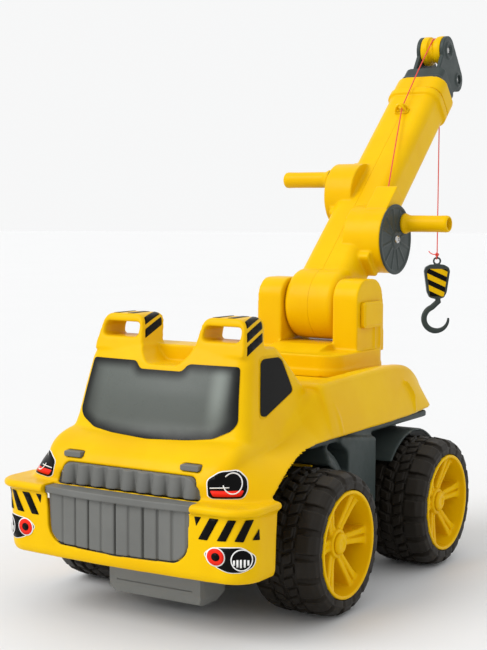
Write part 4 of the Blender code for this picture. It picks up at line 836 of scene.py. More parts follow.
def windshield_film():
    """A printed pane: grey in its middle, dark towards its rim, with one pale upright band of painted reflection.
    """
    found = bpy.data.materials.get("windshield_film")
    if found:
        return found
    made, tree, shader = blank_material("windshield_film")
    edge = tree.nodes.new("ShaderNodeAttribute")
    edge.attribute_name = "edge"
    split = tree.nodes.new("ShaderNodeSeparateXYZ")
    tree.links.new(tree.nodes.new("ShaderNodeTexCoord").outputs["Object"], split.inputs[0])
    across = split.outputs["X"]
    up = split.outputs["Z"]
    inner = span(tree, edge.outputs["Fac"], 0.000, 0.013)
    fall = span(tree, across, 0.070, 0.100, 1.0, 0.12)
    fall_left = span(tree, across, -0.104, -0.070, 0.25, 1.0)
    body = maths(tree, "MULTIPLY", inner, maths(tree, "MULTIPLY", fall, fall_left))
    height = span(tree, up, 0.200, 0.275, 0.80, 1.0)
    base = mix_colour(tree, maths(tree, "MULTIPLY", body, height), (0.004, 0.0045, 0.004, 1.0), tone("pane"))
    # painted reflection: a pale upright band near X = 0.076, fading towards the rim and downwards
    away = maths(tree, "ABSOLUTE", maths(tree, "SUBTRACT", across, 0.076))
    gleam = maths(tree, "MULTIPLY", span(tree, away, 0.0, 0.016, 1.0, 0.0), inner)
    gleam = maths(tree, "MULTIPLY", gleam, span(tree, up, 0.205, 0.245, 0.25, 1.0))
    gleam = maths(tree, "MULTIPLY", gleam, 0.62)
    base = mix_colour(tree, gleam, base, (0.26, 0.29, 0.265, 1.0))
    shader.inputs["Specular IOR Level"].default_value = 0.16
    tree.links.new(base, shader.inputs["Base Color"])
    grain = place_group(tree, grain_group(), Grain_Scale=1200.0, Cloud_Scale=9.0, Gloss_Low=0.26,
                        Gloss_High=0.34)
    tree.links.new(grain.outputs["Gloss"], shader.inputs["Roughness"])
    bump(tree, shader, grain.outputs["Height"], 0.06, 0.0002)
    return made


# ================================================================== camera, stage and cords
def camera_and_light():
    """Set the camera at its place and light the toy softly from the front left."""
    scene = bpy.context.scene
    studio = scene.crane_stage
    scene.view_settings.view_transform = "Standard"
    data = bpy.data.cameras.new("camera")
    data.lens = studio.lens
    camera = bpy.data.objects.new("camera", data)
    scene.collection.objects.link(camera)
    camera.location = CAMERA_PLACE
    a, e = studio.azimuth, studio.elevation
    look = -Vector((math.sin(a) * math.cos(e), -math.cos(a) * math.cos(e), math.sin(e)))
    facing = look.to_track_quat("-Z", "Y").to_matrix().to_4x4()
    camera.matrix_world = Matrix.Translation(camera.location) @ facing @ Matrix.Rotation(studio.roll, 4, "Z")
    scene.camera = camera
    world = bpy.data.worlds.new("studio")
    world.use_nodes = True
    sky = world.node_tree.nodes["Background"]
    sky.inputs["Color"].default_value = SKY_COLOUR
    sky.inputs["Strength"].default_value = studio.sky
    scene.world = world
    sun = bpy.data.lights.new("sun", "SUN")
    sun.energy = studio.key
    sun.angle = SUN_SOFTNESS
    lamp = bpy.data.objects.new("sun", sun)
    scene.collection.objects.link(lamp)
    lamp.rotation_euler = Vector(SUN_DIRECTION).to_track_quat("-Z", "Y").to_euler()


def build_floor():
    """Lay a large pale round floor with a faintly uneven sheen."""
    bm = bmesh.new()
    rings = [[bm.verts.new((r * math.cos(t), r * math.sin(t), 0)) for t in
              (2 * math.pi * k / 96 for k in range(96))] for r in (0.5, 1.5, 4.0, 9.0, 30.0)]
    bm.faces.new(rings[0])
    for low, high in zip(rings, rings[1:]):
        for i in range(96):
            j = (i + 1) % 96
            bm.faces.new((low[i], high[i], high[j], low[j]))
    floor = mesh_object(bm, "studio_floor")
    if floor.data.polygons[0].normal.z < 0:
        floor.data.flip_normals()
    made, tree, shader = blank_material("floor_paper")
    grain = place_group(tree, grain_group(), Grain_Scale=300.0, Cloud_Scale=1.5, Gloss_Low=0.62,
                        Gloss_High=0.70)
    tree.links.new(mix_colour(tree, grain.outputs["Cloud"], tone("floor"), shade(tone("floor"), 0.992)),
                   shader.inputs["Base Color"])
    tree.links.new(grain.outputs["Gloss"], shader.inputs["Roughness"])
    floor.data.materials.append(made)


def strand_tube(name, route, radius, sides=10, twist=0.0042):
    """Return a closed tube along a route, with strands that wind round it and a painted-shade value, low in the
    grooves between them.
    """
    bm = bmesh.new()
    shade_layer = bm.verts.layers.float.new("strand")
    rings = []
    up = Vector((1, 0, 0))
    run = 0.0
    for number, point in enumerate(route):
        before = route[max(number - 1, 0)]
        after = route[min(number + 1, len(route) - 1)]
        along = (after - before).normalized()
        up = (up - along * up.dot(along)).normalized()
        side = along.cross(up)
        run += (point - before).length
        ring = []
        for k in range(sides):
            a = 2 * math.pi * k / sides
            lobe = math.cos(3 * (a + 2 * math.pi * run / twist / 3))
            reach = radius * (0.92 + 0.08 * lobe)
            vertex = bm.verts.new(point + (up * math.cos(a) + side * math.sin(a)) * reach)
            # painted shade: 0 in the grooves between strands, 1 on their crowns, for the cord's colour
            vertex[shade_layer] = 0.5 + 0.5 * lobe
            ring.append(vertex)
        rings.append(ring)
    for low, high in zip(rings, rings[1:]):
        for k in range(sides):
            j = (k + 1) % sides
            bm.faces.new((low[k], low[j], high[j], high[k]))
    bm.faces.new(rings[0][::-1])
    bm.faces.new(rings[-1])
    return mesh_object(bm, name)


def along_route(points, spacing):
    """Return evenly spaced points along a smooth route."""
    rough = [Vector(p) for p in catmull([tuple(p) for p in points], 40)]
    made = [rough[0]]
    for point in rough[1:]:
        if (point - made[-1]).length >= spacing:
            made.append(point)
    if (made[-1] - rough[-1]).length > spacing * 0.3:
        made.append(rough[-1])
    return made


def cord_piece(name, route, body, nodes, blend=None):
    tube = strand_tube(name, route, CORD_RADIUS * 1.12)
    tube.data.materials.append(cord_fibre())
    tube.data.shade_smooth()
    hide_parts(*nodes)
    if blend:
        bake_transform(tube)
    else:
        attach(tube, body)


def build_cords():
    """Build the cord from the winch over the sheave to its knot, and its winding."""
    spacing = 0.0016
    run = [(0.0455, WINCH_U + 0.001, CRANK_V + 0.0311), (0.0450, 0.145, 0.0425), (0.0436, 0.168, 0.0434),
           (0.0315, 0.220, 0.0437), (0.0150, 0.290, 0.0438), (0.0020, GUIDE_U, 0.0436)]
    over = [(0.0020, GUIDE_U + 0.0002, 0.0436), (0.0014, 0.380, 0.0452), (0.0005, 0.430, 0.0471)]
    over += [(0.0, u, v) for u, v in arc((SHEAVE_U, SHEAVE_V), 0.0181, 92, -43, 12)]
    run = along_route([boom_point(*p) for p in run], spacing)
    over = along_route([boom_point(*p) for p in over], spacing)
    top = over[-1]
    fall = [top - Vector((0, 0, 0.0003 + i * 0.0020)) for i in range(int(FALL_LENGTH / 0.0020))]
    fall.append(top - Vector((0, 0, FALL_LENGTH - KNOT_RADIUS)))
    cord_piece("cord_run_piece", run, "boom", ["cord_run"])
    cord_piece("cord_over_piece", over, None, ["cord_over_sheave"],
               blend=("boom", "inner_boom", boom_point(0, GUIDE_U + 0.02, 0.045), boom_point(0, 0.43, 0.045)))
    build_knot(top - Vector((0, 0, FALL_LENGTH)))
    cord_piece("cord_fall_piece", fall, None, ["cord_fall"],
               blend=("fall_line", "hook_line", tuple(fall[1]), tuple(fall[-2])))
    points, per_turn = 1100, 60
    route = []
    for i in range(points):
        turn = 2 * math.pi * i / per_turn
        layer = 0.0292 + 0.0004 * math.sin(turn * 0.37)
        route.append(Vector((0.0405 + 0.0225 * i / points, layer * math.cos(turn), layer * math.sin(turn))))
    coil = strand_tube("cord_coil", route, CORD_RADIUS * 1.05, 8)
    inner = lathe([(0.0402, 0.0215), (0.0402, 0.0290), (0.0634, 0.0290), (0.0634, 0.0215)], 64)
    coil = join(coil, inner)
    moved(coil, 0, WINCH_U, CRANK_V)
    finish(in_boom(coil), "cord_coil", "winch", cord_fibre(), ["cord_winding"])


def build_knot(centre):
    """Tie an overhand knot with a loose tail below the fall."""
    points = []
    for i in range(90):
        t = 2 * math.pi * i / 90
        r = 0.00125 * (2 + math.cos(3 * t))
        points.append(centre + Vector((r * math.cos(2 * t) * 0.62, 0.0011 * math.sin(3 * t),
                                       r * math.sin(2 * t) * 0.72)))
    loops = strand_tube("cord_knot_piece", along_route(points + points[:1], 0.0005), 0.00082, 10)
    tail = along_route([centre + Vector(p) for p in ((0, 0, 0.0010), (-0.0016, 0.0012, 0.0012),
                                                     (-0.0070, 0.0030, 0.0002), (-0.0130, 0.0050, 0.0020),
                                                     (-0.0165, 0.0060, 0.0048))], 0.0006)
    lead = along_route([centre + Vector(p) for p in ((0, 0, KNOT_RADIUS + 0.0002), (0.0004, 0, 0.0012),
                                                     (0, 0.0002, -0.001))], 0.0005)
    turns = [2 * math.pi * i / 40 for i in range(41)]
    loop_low = [centre + Vector((0.0004 * math.cos(t), 0.0052 * math.sin(t) * 0.30,
                                 -0.0035 + 0.0035 * math.cos(t))) for t in turns]
    knot = join(loops, strand_tube("tail", tail, 0.0008), strand_tube("lead", lead, 0.0008),
                strand_tube("eye", loop_low, 0.0007))
    moved(knot, *(-SHIFT))
    finish(knot, "cord_knot_piece", "hook_line", cord_fibre(), ["cord_knot"])


# ================================================================== body shell
def arch_z(y):
    """Return the height of the shell's lower edge over the front wheels."""
    return RIM_Z if y >= 0 else RIM_Z - 0.21 + math.sqrt(0.21 * 0.21 - y * y)


def body_loop(y, half_low, half_high, low, high, radius):
    """Return one cross-section of the body, with rounded upper corners and slightly bowed flanks."""
    right = [(half_low, low)]
    top = high - radius
    for i in range(1, 8):
        t = i / 8
        bow = 0.0016 * math.sin(math.pi * t)
        right.append((half_low + (half_high - half_low) * t + bow, low + (top - low) * t))
    right += arc((half_high - radius, top), radius, 0, 90, 8)
    return [(x, y, z) for x, z in right + [(-x, z) for x, z in reversed(right)]]


def main_body(grow=0.0, drop=0.0):
    """Return the nose, flanks and rear deck as one solid."""
    rows = [(BUMPER_FRONT_Y + 0.024, 0.118, 0.098, BRIM_Z, 0.162, 0.008),
            (BUMPER_FRONT_Y + 0.032, 0.140, 0.112, BRIM_Z, 0.178, 0.012),
            (BUMPER_FRONT_Y + 0.046, 0.150, 0.120, BRIM_Z, 0.190, 0.014),
            (BUMPER_BACK_Y, 0.155, 0.121, arch_z(BUMPER_BACK_Y), 0.199, 0.016),
            (-0.085, 0.152, 0.119, arch_z(-0.085), 0.205, 0.018),
            (-0.040, 0.147, 0.116, arch_z(-0.040), 0.213, 0.020),
            (0.000, 0.143, 0.118, RIM_Z, 0.223, 0.016)]
    rows = catmull(rows, 6) + catmull([
        (DECK_FRONT_Y - 0.018, 0.141, 0.123, RIM_Z, 0.240, 0.010),
        (DECK_FRONT_Y - 0.010, 0.141, 0.126, RIM_Z, DECK_Z + 0.009, 0.008),
        (0.120, 0.1395, 0.124, RIM_Z, DECK_Z + 0.011, 0.008),
        (0.200, 0.138, 0.122, RIM_Z, DECK_Z + 0.012, 0.008),
        (BODY_REAR_Y - 0.050, 0.135, 0.119, RIM_Z + 0.001, DECK_Z + 0.008, 0.008),
        (BODY_REAR_Y - 0.016, 0.132, 0.117, RIM_Z + 0.002, DECK_Z - 0.006, 0.008),
        (BODY_REAR_Y, 0.130, 0.116, RIM_Z + 0.003, DECK_Z - 0.023, 0.008)], 5)
    front, rear = rows[0][0], rows[-1][0]
    return loft([body_loop(y - grow * (1 - 2 * (y - front) / (rear - front)), a + grow, b + grow, low - drop,
                           high + grow, radius) for y, a, b, low, high, radius in rows])


def plan_loop(z, half, front, back, bulge, front_corner, back_corner, grow=0.0):
    """Return a level outline with a curved front edge and rounded corners."""
    half += grow
    front -= grow
    back += grow
    reach = half - front_corner
    spots = [-reach + 2 * reach * i / 32 for i in range(33)]
    edge = [(x, front - bulge * (1 - (x / reach) ** 2)) for x in spots]
    outline = (edge + arc((reach, front + front_corner), front_corner, -90, 0, 10)[1:]
               + arc((half - back_corner, back - back_corner), back_corner, 0, 90, 6)
               + arc((back_corner - half, back - back_corner), back_corner, 90, 180, 6)
               + arc((-reach, front + front_corner), front_corner, 180, 270, 10)[:-1])
    return [(x, y, z) for x, y in outline]


def cab(grow=0.0):
    """Return the cab above the nose as a solid."""
    levels = [(0.150, 0.116, -0.116, 0.040, 0.009), (0.192, 0.116, -0.116, 0.040, 0.009),
              (0.212, 0.1125, -0.1085, 0.038, 0.008), (0.243, 0.1085, -0.1010, 0.030, 0.007),
              (0.276, 0.1045, -0.0915, -0.004, 0.005), (ROOF_Z + grow, 0.1000, -0.0845, -0.017, 0.003)]
    return loft([plan_loop(z, half, front, back, bulge, 0.016, 0.012, grow)
                 for z, half, front, back, bulge in levels])


def bumper(grow=0.0):
    """Return the bumper as a solid, without its brim."""
    levels = [(BUMPER_LOW_Z, BUMPER_HALF - 0.004, BUMPER_FRONT_Y + 0.008),
              (BUMPER_LOW_Z + 0.006, BUMPER_HALF - 0.002, BUMPER_FRONT_Y + 0.006),
              (BRIM_Z + BRIM_HEIGHT / 2, BUMPER_HALF, BUMPER_FRONT_Y + 0.005)]
    return loft([plan_loop(z, half, front, BUMPER_BACK_Y, 0.0045, 0.030, 0.002, grow)
                 for z, half, front in levels])


def brim():
    """Return the lip that runs round the top of the bumper."""
    front = BUMPER_FRONT_Y + 0.005
    levels = [(BRIM_Z, 0.002), (BRIM_Z + 0.002, 0.0055), (BRIM_Z + BRIM_HEIGHT - 0.002, 0.0055),
              (BRIM_Z + BRIM_HEIGHT, 0.002)]
    return loft([plan_loop(z, BUMPER_HALF + out, front - out, BUMPER_BACK_Y, 0.0045, 0.030, 0.002)
                 for z, out in levels])


def bar_solid():
    """Return one roof bar, an arch that leans back, with its opening cut through."""
    rise = BAR_TOP_Z - ROOF_Z
    foot = ROOF_Z - 0.006

    def arch(low):
        radius = 0.0125
        return ([(BAR_INNER_X, low), (BAR_OUTER_X, low), (BAR_OUTER_X, low + 0.006)]
                + arc((BAR_OUTER_X - 0.004 - radius, BAR_TOP_Z - radius), radius, 12, 90, 10)
                + arc((BAR_INNER_X + 0.004 + radius, BAR_TOP_Z - radius), radius, 90, 168, 10)
                + [(BAR_INNER_X, low + 0.006)])

    def lean(x, y, z):
        return (x, y + BAR_LEAN * (z - ROOF_Z) / rise, z)

    solid = loft([[lean(x, y, z) for x, z in arch(foot)] for y in (BAR_FRONT_Y, BAR_BACK_Y)])
    wall = 0.0085
    opening = rounded(BAR_INNER_X + wall, BAR_OUTER_X - wall, ROOF_Z + wall, BAR_TOP_Z - 0.0090, 0.0045)
    hole = loft([[lean(x, y, z) for x, z in opening] for y in (BAR_FRONT_Y - 0.02, BAR_BACK_Y + 0.02)])
    return cut(solid, hole)


def smooth_tube(points, radius, sides=14):
    """Return a round closed tube along a smooth route."""
    route = along_route([Vector(p) for p in points], radius * 0.8)
    loops = []
    up = Vector((0.2, 0.3, 1))
    for number, point in enumerate(route):
        along = (route[min(number + 1, len(route) - 1)] - route[max(number - 1, 0)]).normalized()
        up = (up - along * up.dot(along)).normalized()
        side = along.cross(up)
        loops.append([tuple(point + (up * math.cos(a) + side * math.sin(a)) * radius)
                      for a in (2 * math.pi * k / sides for k in range(sides))])
    return loft(loops)


def windshield_outline(grow=0.0):
    """Return the windshield seen from the front, with its notch for the scoop."""
    half = 0.1010 + grow
    right = [(0.0, 0.1963 - grow), (0.050, 0.1985 - grow), (0.078, 0.2015 - grow),
             (half - 0.004, 0.2105 - grow / 2), (half + 0.0015, 0.2185), (0.0955 + grow, 0.2755 + grow),
             (0.0345 - grow, 0.2755 + grow), (0.0275 - grow, 0.2672 + grow), (0.0, 0.2672 + grow)]
    outline = right + [(-x, z) for x, z in reversed(right[1:-1])]
    return soften(outline, 0.0042, 6)


def side_window_outline(grow=0.0):
    """Return the side window seen from the side."""
    centre = Vector((-0.040, 0.250))
    corners = [(-0.0645, 0.278), (-0.0566, 0.2815), (-0.0253, 0.281), (-0.0203, 0.2773), (-0.0043, 0.2453),
               (-0.0064, 0.2412), (-0.066, 0.2212), (-0.0757, 0.2234)]
    made = []
    for corner in corners:
        spoke = Vector(corner) - centre
        made.append(tuple(centre + spoke * (1 + grow / spoke.length)))
    return soften(made, 0.004, 5)


def lower_grille_outline(grow=0.0):
    """Return the lower grille seen from the front."""
    half = 0.0915 + grow
    low = 0.0815 - grow
    right = [(half, BRIM_Z + 0.003), (half - 0.002, 0.108)]
    right += arc((half - 0.024, low + 0.024), 0.022, -5, -80, 8)
    return right + [(0.0, low)] + [(-x, z) for x, z in reversed(right)]


def upper_grille_outline(grow=0.0):
    """Return the upper grille seen from the front."""
    low = BRIM_Z + BRIM_HEIGHT - 0.001 - grow
    top = 0.1685 + grow
    right = [(0.092 + grow, low), (0.089 + grow, low + 0.012)]
    right += arc((0.077 + grow / 2, top - 0.009), 0.009, 0, 90, 8)
    return right + [(-x, z) for x, z in reversed(right)]


def shell_solid():
    """Return the yellow shell's outer shape, with its raised beads, front lip and roof bars."""
    shell = join(main_body(), bumper(), brim(), cab())
    beads = []
    for side in (1, -1):
        pillar = [(side * x, y, z) for x, y, z in
                  ((0.1175, 0.042, 0.2415), (0.1225, 0.047, 0.2360), (0.1290, 0.051, 0.2230),
                   (0.1345, 0.055, 0.2080), (0.1385, 0.057, 0.1900))]
        beads.append(smooth_tube(pillar, 0.0030))
        beads.append(smooth_tube([(x, y - 0.013, z) for x, y, z in pillar[1:]], 0.0022))
        beads.append(smooth_tube([(side * 0.128, 0.250, 0.2290), (side * 0.1330, 0.262, 0.2120),
                                  (side * 0.1350, 0.262, 0.1900)], 0.0018))
    front_lip = smooth_tube([(-0.118, 0.043, 0.2420), (-0.06, 0.043, 0.2440), (0.06, 0.043, 0.2440),
                             (0.118, 0.043, 0.2420)], 0.0030)
    return join(shell, front_lip, *beads, *bars())


def bars():
    """Return both roof bars."""
    bar = bar_solid()
    return bar, mirrored(bar)


def scoop():
    """Return the hollow between the roof bars."""
    outline = soften([(-0.020, 0.2725), (0.020, 0.2725), (0.0325, 0.2865), (0.0325, ROOF_Z + 0.02),
                      (-0.0325, ROOF_Z + 0.02), (-0.0325, 0.2865)], 0.005)
    return prism(outline, "Y", -0.125, -0.058)


def build_body():
    """Build the yellow shell as one moulding with soft edges."""
    inset = -0.0032
    shell = mould(shell_solid(), 0.0017, 4)
    cavity = mould(join(main_body(inset, 0.03), bumper(inset), cab(inset)), 0.004, 1)
    cavity.data.transform(Matrix.Translation((0, 0, -0.0001)))
    keep_scoop = prism([(-0.037, 0.268), (0.037, 0.268), (0.037, 0.33), (-0.037, 0.33)], "Y", -0.13, -0.054)
    wall = 0.003
    keep_deck = box(-DECK_HALF - wall, DECK_HALF + wall, DECK_FRONT_Y - wall, 0.4, DECK_Z - 0.004, 0.3)
    cavity = cut(cavity, keep_scoop, keep_deck)
    low_opening = loft([plan_loop(z, BUMPER_HALF - 0.004, BUMPER_FRONT_Y + 0.008, BUMPER_BACK_Y, 0.0045,
                                  0.030, 0.002, -0.0034) for z in (0.02, BUMPER_LOW_Z + 0.012)])
    deck = prism(rounded(-DECK_HALF, DECK_HALF, DECK_FRONT_Y, 0.45, 0.012), "Z", DECK_Z, 0.3)
    cargo = prism(rounded(-0.100, 0.100, DECK_FRONT_Y + 0.005, 0.148, 0.010), "Z", DECK_Z - 0.001, 0.3)
    hole = post(DECK_Z - 0.02, DECK_Z + 0.01, 0.0308, (0, SLEW_Y))
    lower = prism(lower_grille_outline(0.0006), "Y", -0.30, BUMPER_FRONT_Y + 0.0100)
    nose = prism(upper_grille_outline(0.0004), "Y", -0.25, BUMPER_FRONT_Y + 0.0305)
    shelf = box(-0.0950, 0.0950, -0.25, BUMPER_FRONT_Y + 0.0205, BRIM_Z - SEAM, BRIM_Z + BRIM_HEIGHT + 0.02)
    shell = cut(shell, cavity, low_opening, scoop(), deck, cargo, hole, lower, nose, shelf)
    for x in (0.0757, -0.0757):
        lamp = rounded(x - 0.0119, x + 0.0119, 0.1733, 0.1804, 0.0018)
        shell = cut(shell, prism(lamp, "Y", -0.3, BUMPER_FRONT_Y + 0.0378))
    posts = [post(RIM_Z, DECK_Z - 0.0012, 0.0055, (x, 0.060)) for x in (-0.055, 0.055)]
    shell = slim(mould(join(shell, *posts), 0.0014, 3), 150000)
    return finish(shell, "shell", "truck", yellow(), ["body_shell"])


def grid_face(points, spacing, bm):
    """Fill an outline with a grid of faces and return its corners."""
    low = Vector((min(p.x for p in points), min(p.y for p in points)))
    high = Vector((max(p.x for p in points), max(p.y for p in points)))
    bm.faces.new([bm.verts.new((p.x, p.y, 0)) for p in points])
    for axis in (0, 1):
        steps = max(1, int((high[axis] - low[axis]) / spacing))
        normal = ((1, 0, 0), (0, 1, 0))[axis]
        for i in range(1, steps):
            place = [0.0, 0.0, 0.0]
            place[axis] = low[axis] + (high[axis] - low[axis]) * i / steps
            bmesh.ops.bisect_plane(bm, geom=bm.verts[:] + bm.edges[:] + bm.faces[:], dist=1e-6,
                                   plane_co=place, plane_no=normal)
    return low, high


def rim_distance(points, flat):
    """Return the distance from a flat point to a closed outline."""
    near = 1.0
    for a, b in zip(points, points[1:] + points[:1]):
        side = b - a
        t = max(0.0, min(1.0, (flat - a).dot(side) / max(side.length_squared, 1e-12)))
        near = min(near, (a + side * t - flat).length)
    return near


def surface_patch(shell, outline, project, spacing, lift, thick):
    """Lay a thin patch with a given outline on the shell, with the distance to its rim stored."""
    tree = BVHTree.FromObject(shell, bpy.context.evaluated_depsgraph_get())
    points = [Vector(p) for p in outline]
    bm = bmesh.new()
    edge = bm.verts.layers.float.new("edge")
    low, high = grid_face(points, spacing, bm)
    for vertex in bm.verts:
        flat = Vector((vertex.co.x, vertex.co.y))
        vertex[edge] = rim_distance(points, flat)
        start, direction = project(flat.x, flat.y)
        inwards = Vector(direction).normalized()
        hit = tree.ray_cast(Vector(start) + SHIFT, inwards, 0.4)[0]
        if hit is None:
            bm.free()
            raise RuntimeError("a patch misses the shell at %.4f, %.4f" % (flat.x, flat.y))
        vertex.co = hit - inwards * lift - SHIFT
    bmesh.ops.remove_doubles(bm, verts=bm.verts, dist=1e-5)
    solid = bmesh.ops.extrude_face_region(bm, geom=bm.faces[:])
    outer = [item for item in solid["geom"] if isinstance(item, bmesh.types.BMVert)]
    push = Vector(project((low.x + high.x) / 2, (low.y + high.y) / 2)[1]).normalized() * -thick
    bmesh.ops.translate(bm, verts=outer, vec=push)
    return mesh_object(bm)


def flat_front(x, z):
    """Project straight back onto the shell's front."""
    return (x, -0.40, z), (0, 1, 0)


def flat_side(side):
    """Return a projection straight in from a side."""
    return lambda y, z: ((0.35 * side, y, z), (-side, 0, 0))


def turned(side):
    """Return a projection onto the shell's front corner of a side."""
    cosine, sine = math.cos(CORNER_TURN), math.sin(CORNER_TURN)

    def project(s, z):
        return ((s * cosine + 0.40 * sine) * side, s * sine - 0.40 * cosine, z), (-sine * side, cosine, 0)
    return project


def sticker(name, shell, parts, project, body="truck"):
    """Build one sticker of several printed layers, each a little above the last."""
    pieces = []
    skins = []
    for number, (outline, skin) in enumerate(parts):
        patch = surface_patch(shell, outline, project, 0.004, 0.00005 + 0.00022 * number, 0.0002)
        patch.data.materials.append(skin)
        if skin not in skins:
            skins.append(skin)
        for face in patch.data.polygons:
            face.material_index = skins.index(skin)
        pieces.append(patch)
    for piece in pieces:
        keep = [face.material_index for face in piece.data.polygons]
        piece.data.materials.clear()
        for skin in skins:
            piece.data.materials.append(skin)
        for face, index in zip(piece.data.polygons, keep):
            face.material_index = index
    made = join(*pieces)
    index = [face.material_index for face in made.data.polygons]
    made = finish(made, name, body, skins)
    for face, number in zip(made.data.polygons, index):
        face.material_index = number
    return made


def band(outline, width):
    """Return a closed strip along an outline, as one simple outline slit at its start."""
    points = [Vector(p) for p in outline]
    centre = sum(points, Vector((0, 0))) / len(points)
    inner = [centre + (p - centre) * (1 - width / (p - centre).length) for p in points]
    return [tuple(p) for p in points + points[:1]] + [tuple(p) for p in (inner + inner[:1])[::-1]]


def ring_outline(centre, outer, inner, start=0, end=359.5, steps=40):
    """Return the outline of an open ring."""
    return arc(centre, outer, start, end, steps) + arc(centre, inner, end, start, steps)


def build_stickers(shell):
    """Build the printed panels: windows, headlamps, stripes and lamps."""
    black = ink()
    white = ink("sticker_white", "white", 0.30)
    red = ink("sticker_red", "red", 0.28)
    pale = ink("sticker_pale", "yellow", 0.30)
    pane = surface_patch(shell, windshield_outline(), flat_front, 0.005, 0.0004, 0.0004)
    finish(pane, "windshield_panel", "truck", windshield_film(), ["windshield"], 40)
    for side, label in ((1, "left"), (-1, "right")):
        inwards = flat_side(side)
        pane = surface_patch(shell, side_window_outline(), inwards, 0.006, 0.0004, 0.0004)
        finish(pane, "side_window_panel_" + label, "truck", ink("window_ink", "ink", 0.20),
               ["side_window_" + label], 40)
        line = surface_patch(shell, band(side_window_outline(0.0030), 0.0012), inwards, 0.02, 0.0002, 0.0002)
        finish(line, "side_window_line_" + label, "truck", pale)
        outline = soften([(0.0008, 0.1671), (0.0139, 0.1754), (0.032, 0.1762), (0.0412, 0.168),
                          (0.0418, 0.1576), (0.0372, 0.1508), (0.006, 0.1495), (0.0019, 0.1516)], 0.004)
        lamp = [(grown(outline, 0.0010), white), (outline, black),
                (soften([(0.0035, 0.1570), (0.0385, 0.1580), (0.0355, 0.1525), (0.0068, 0.1513)], 0.002),
                 red),
                (ring_outline((0.0268, 0.1645), 0.0103, 0.0091, -170, 140), white),
                ([(0.0035, 0.1590), (0.0235, 0.1602), (0.0235, 0.1612), (0.0035, 0.1600)], white)]
        sticker("headlamp_" + label, shell, lamp, turned(side))
        bars_at = [[(-0.0114, 0.1345), (-0.0043, 0.1345), (-0.0095, 0.1247)],
                   [(0.0041, 0.1345), (0.0132, 0.1345), (0.0016, 0.1116), (-0.0075, 0.1117)],
                   [(0.0225, 0.1345), (0.0308, 0.1345), (0.0203, 0.1128), (0.0113, 0.1123)],
                   [(0.0400, 0.1345), (0.0483, 0.1345), (0.0380, 0.1125), (0.0289, 0.1132)],
                   [(0.0536, 0.1245), (0.0544, 0.1127), (0.0469, 0.1138)]]
        sticker("hazard_stripes_" + label, shell, [(soften(one, 0.0008, 2), black) for one in bars_at],
                turned(side))
        outline = soften([(-0.0023, 0.0972), (0.0067, 0.1049), (0.0227, 0.1063), (0.0365, 0.1069),
                          (0.0504, 0.0967), (0.0485, 0.0869), (0.0366, 0.0818), (0.0228, 0.0816),
                          (0.0108, 0.0858)], 0.005)
        slats = [(0.0287, 0.0892, 0.0944), (0.0321, 0.0876, 0.0950), (0.0355, 0.0868, 0.0952),
                 (0.0393, 0.0872, 0.0950), (0.0429, 0.0890, 0.0944)]
        lamp = [(grown(outline, 0.0009), white), (outline, black),
                (circle((0.0100, 0.0960), 0.0098, 40), white), (circle((0.0100, 0.0960), 0.0086, 40), red),
                (circle((0.0100, 0.0960), 0.0042, 30), black),
                (ring_outline((0.0364, 0.0944), 0.0112, 0.0100), white)]
        for s, a, b in slats:
            lamp.append(([(s - 0.0010, a), (s + 0.0010, a), (s + 0.0010, b), (s - 0.0010, b)], white))
        sticker("fog_lamp_" + label, shell, lamp, turned(side))


def grown(outline, width):
    """Return an outline moved outwards by a width."""
    points = [Vector(p) for p in outline]
    centre = sum(points, Vector((0, 0))) / len(points)
    return [tuple(centre + (p - centre) * (1 + width / (p - centre).length)) for p in points]


def build_grilles():
    """Build the grey grilles: slats below the shelf and round ribs above it."""
    sizes = bpy.context.scene.crane_sizes
    front = BUMPER_FRONT_Y
    lower = prism(lower_grille_outline(-0.0005), "Y", front + 0.0060, front + 0.0096)
    pitch = 0.176 / sizes.lower_slats
    slat = prism(rounded(-pitch * 0.44, pitch * 0.44, -0.0042, 0.0012, 0.0016, 4), "Z", 0.060,
                 BRIM_Z - 0.0004)
    slats = row_of(slat, sizes.lower_slats, pitch, grey(), 0.0032)
    moved(slats, 0, front + 0.0058, 0)
    slats.data.materials.clear()
    trim(slats, prism(lower_grille_outline(-0.0008), "Y", front - 0.02, front + 0.03))
    bow = [(0.0945, 0.0030), (0.060, -0.0010), (0.03, -0.0027)]
    outline = ([(-x, front + y) for x, y in bow] + [(0.0, front - 0.0031)]
               + [(x, front + y) for x, y in bow[::-1]]
               + [(0.0945, front + 0.0202), (-0.0945, front + 0.0202)])
    shelf = prism(soften(outline, 0.003, 4), "Z", BRIM_Z, BRIM_Z + BRIM_HEIGHT - 0.0015)
    lower = mould(join(lower, slats, shelf), 0.0009, 2)
    finish(lower, "grille_low", "truck", grey(), ["grille_lower"])
    upper = prism(upper_grille_outline(-0.0004), "Y", front + 0.0262, front + 0.0298)
    pitch = 0.178 / sizes.upper_ribs
    rib = upright(rod(0.0, 0.0265, pitch * 0.46, segments=40))
    rib.data.transform(Matrix.Diagonal((1, 0.85, 1, 1)))
    ribs = row_of(rib, sizes.upper_ribs, pitch, grey(), 0.0)
    lean = Matrix.Rotation(math.radians(-10.0), 4, "X")
    ribs.data.transform(Matrix.Translation((0, front + 0.0262, 0.1430)) @ lean)
    trim(ribs, prism(upper_grille_outline(-0.0012), "Y", front - 0.02, front + 0.05))
    upper = mould(join(upper, ribs), 0.0009, 1)
    finish(upper, "grille_high", "truck", grey(), ["grille_upper"])
    for side, label in ((1, "left"), (-1, "right")):
        x = side * 0.0757
        block = prism(rounded(x - 0.0113, x + 0.0113, 0.1738, 0.1799, 0.0018), "Y", front + 0.0270,
                      front + 0.0370)
        finish(mould(block, 0.0006, 2), "indicator_lamp_" + label, "truck", grey(), ["indicator_" + label])


def over_corner(x, z):
    """Return a projection onto the upper +X corner of a roof bar, for (y, way down) points."""
    def project(y, down):
        slant = 1 / math.sqrt(2)
        return (x + (0.1 + down) * slant, y - 0.3 * down, z + (0.1 - down) * slant), (-slant, 0, -slant)
    return project


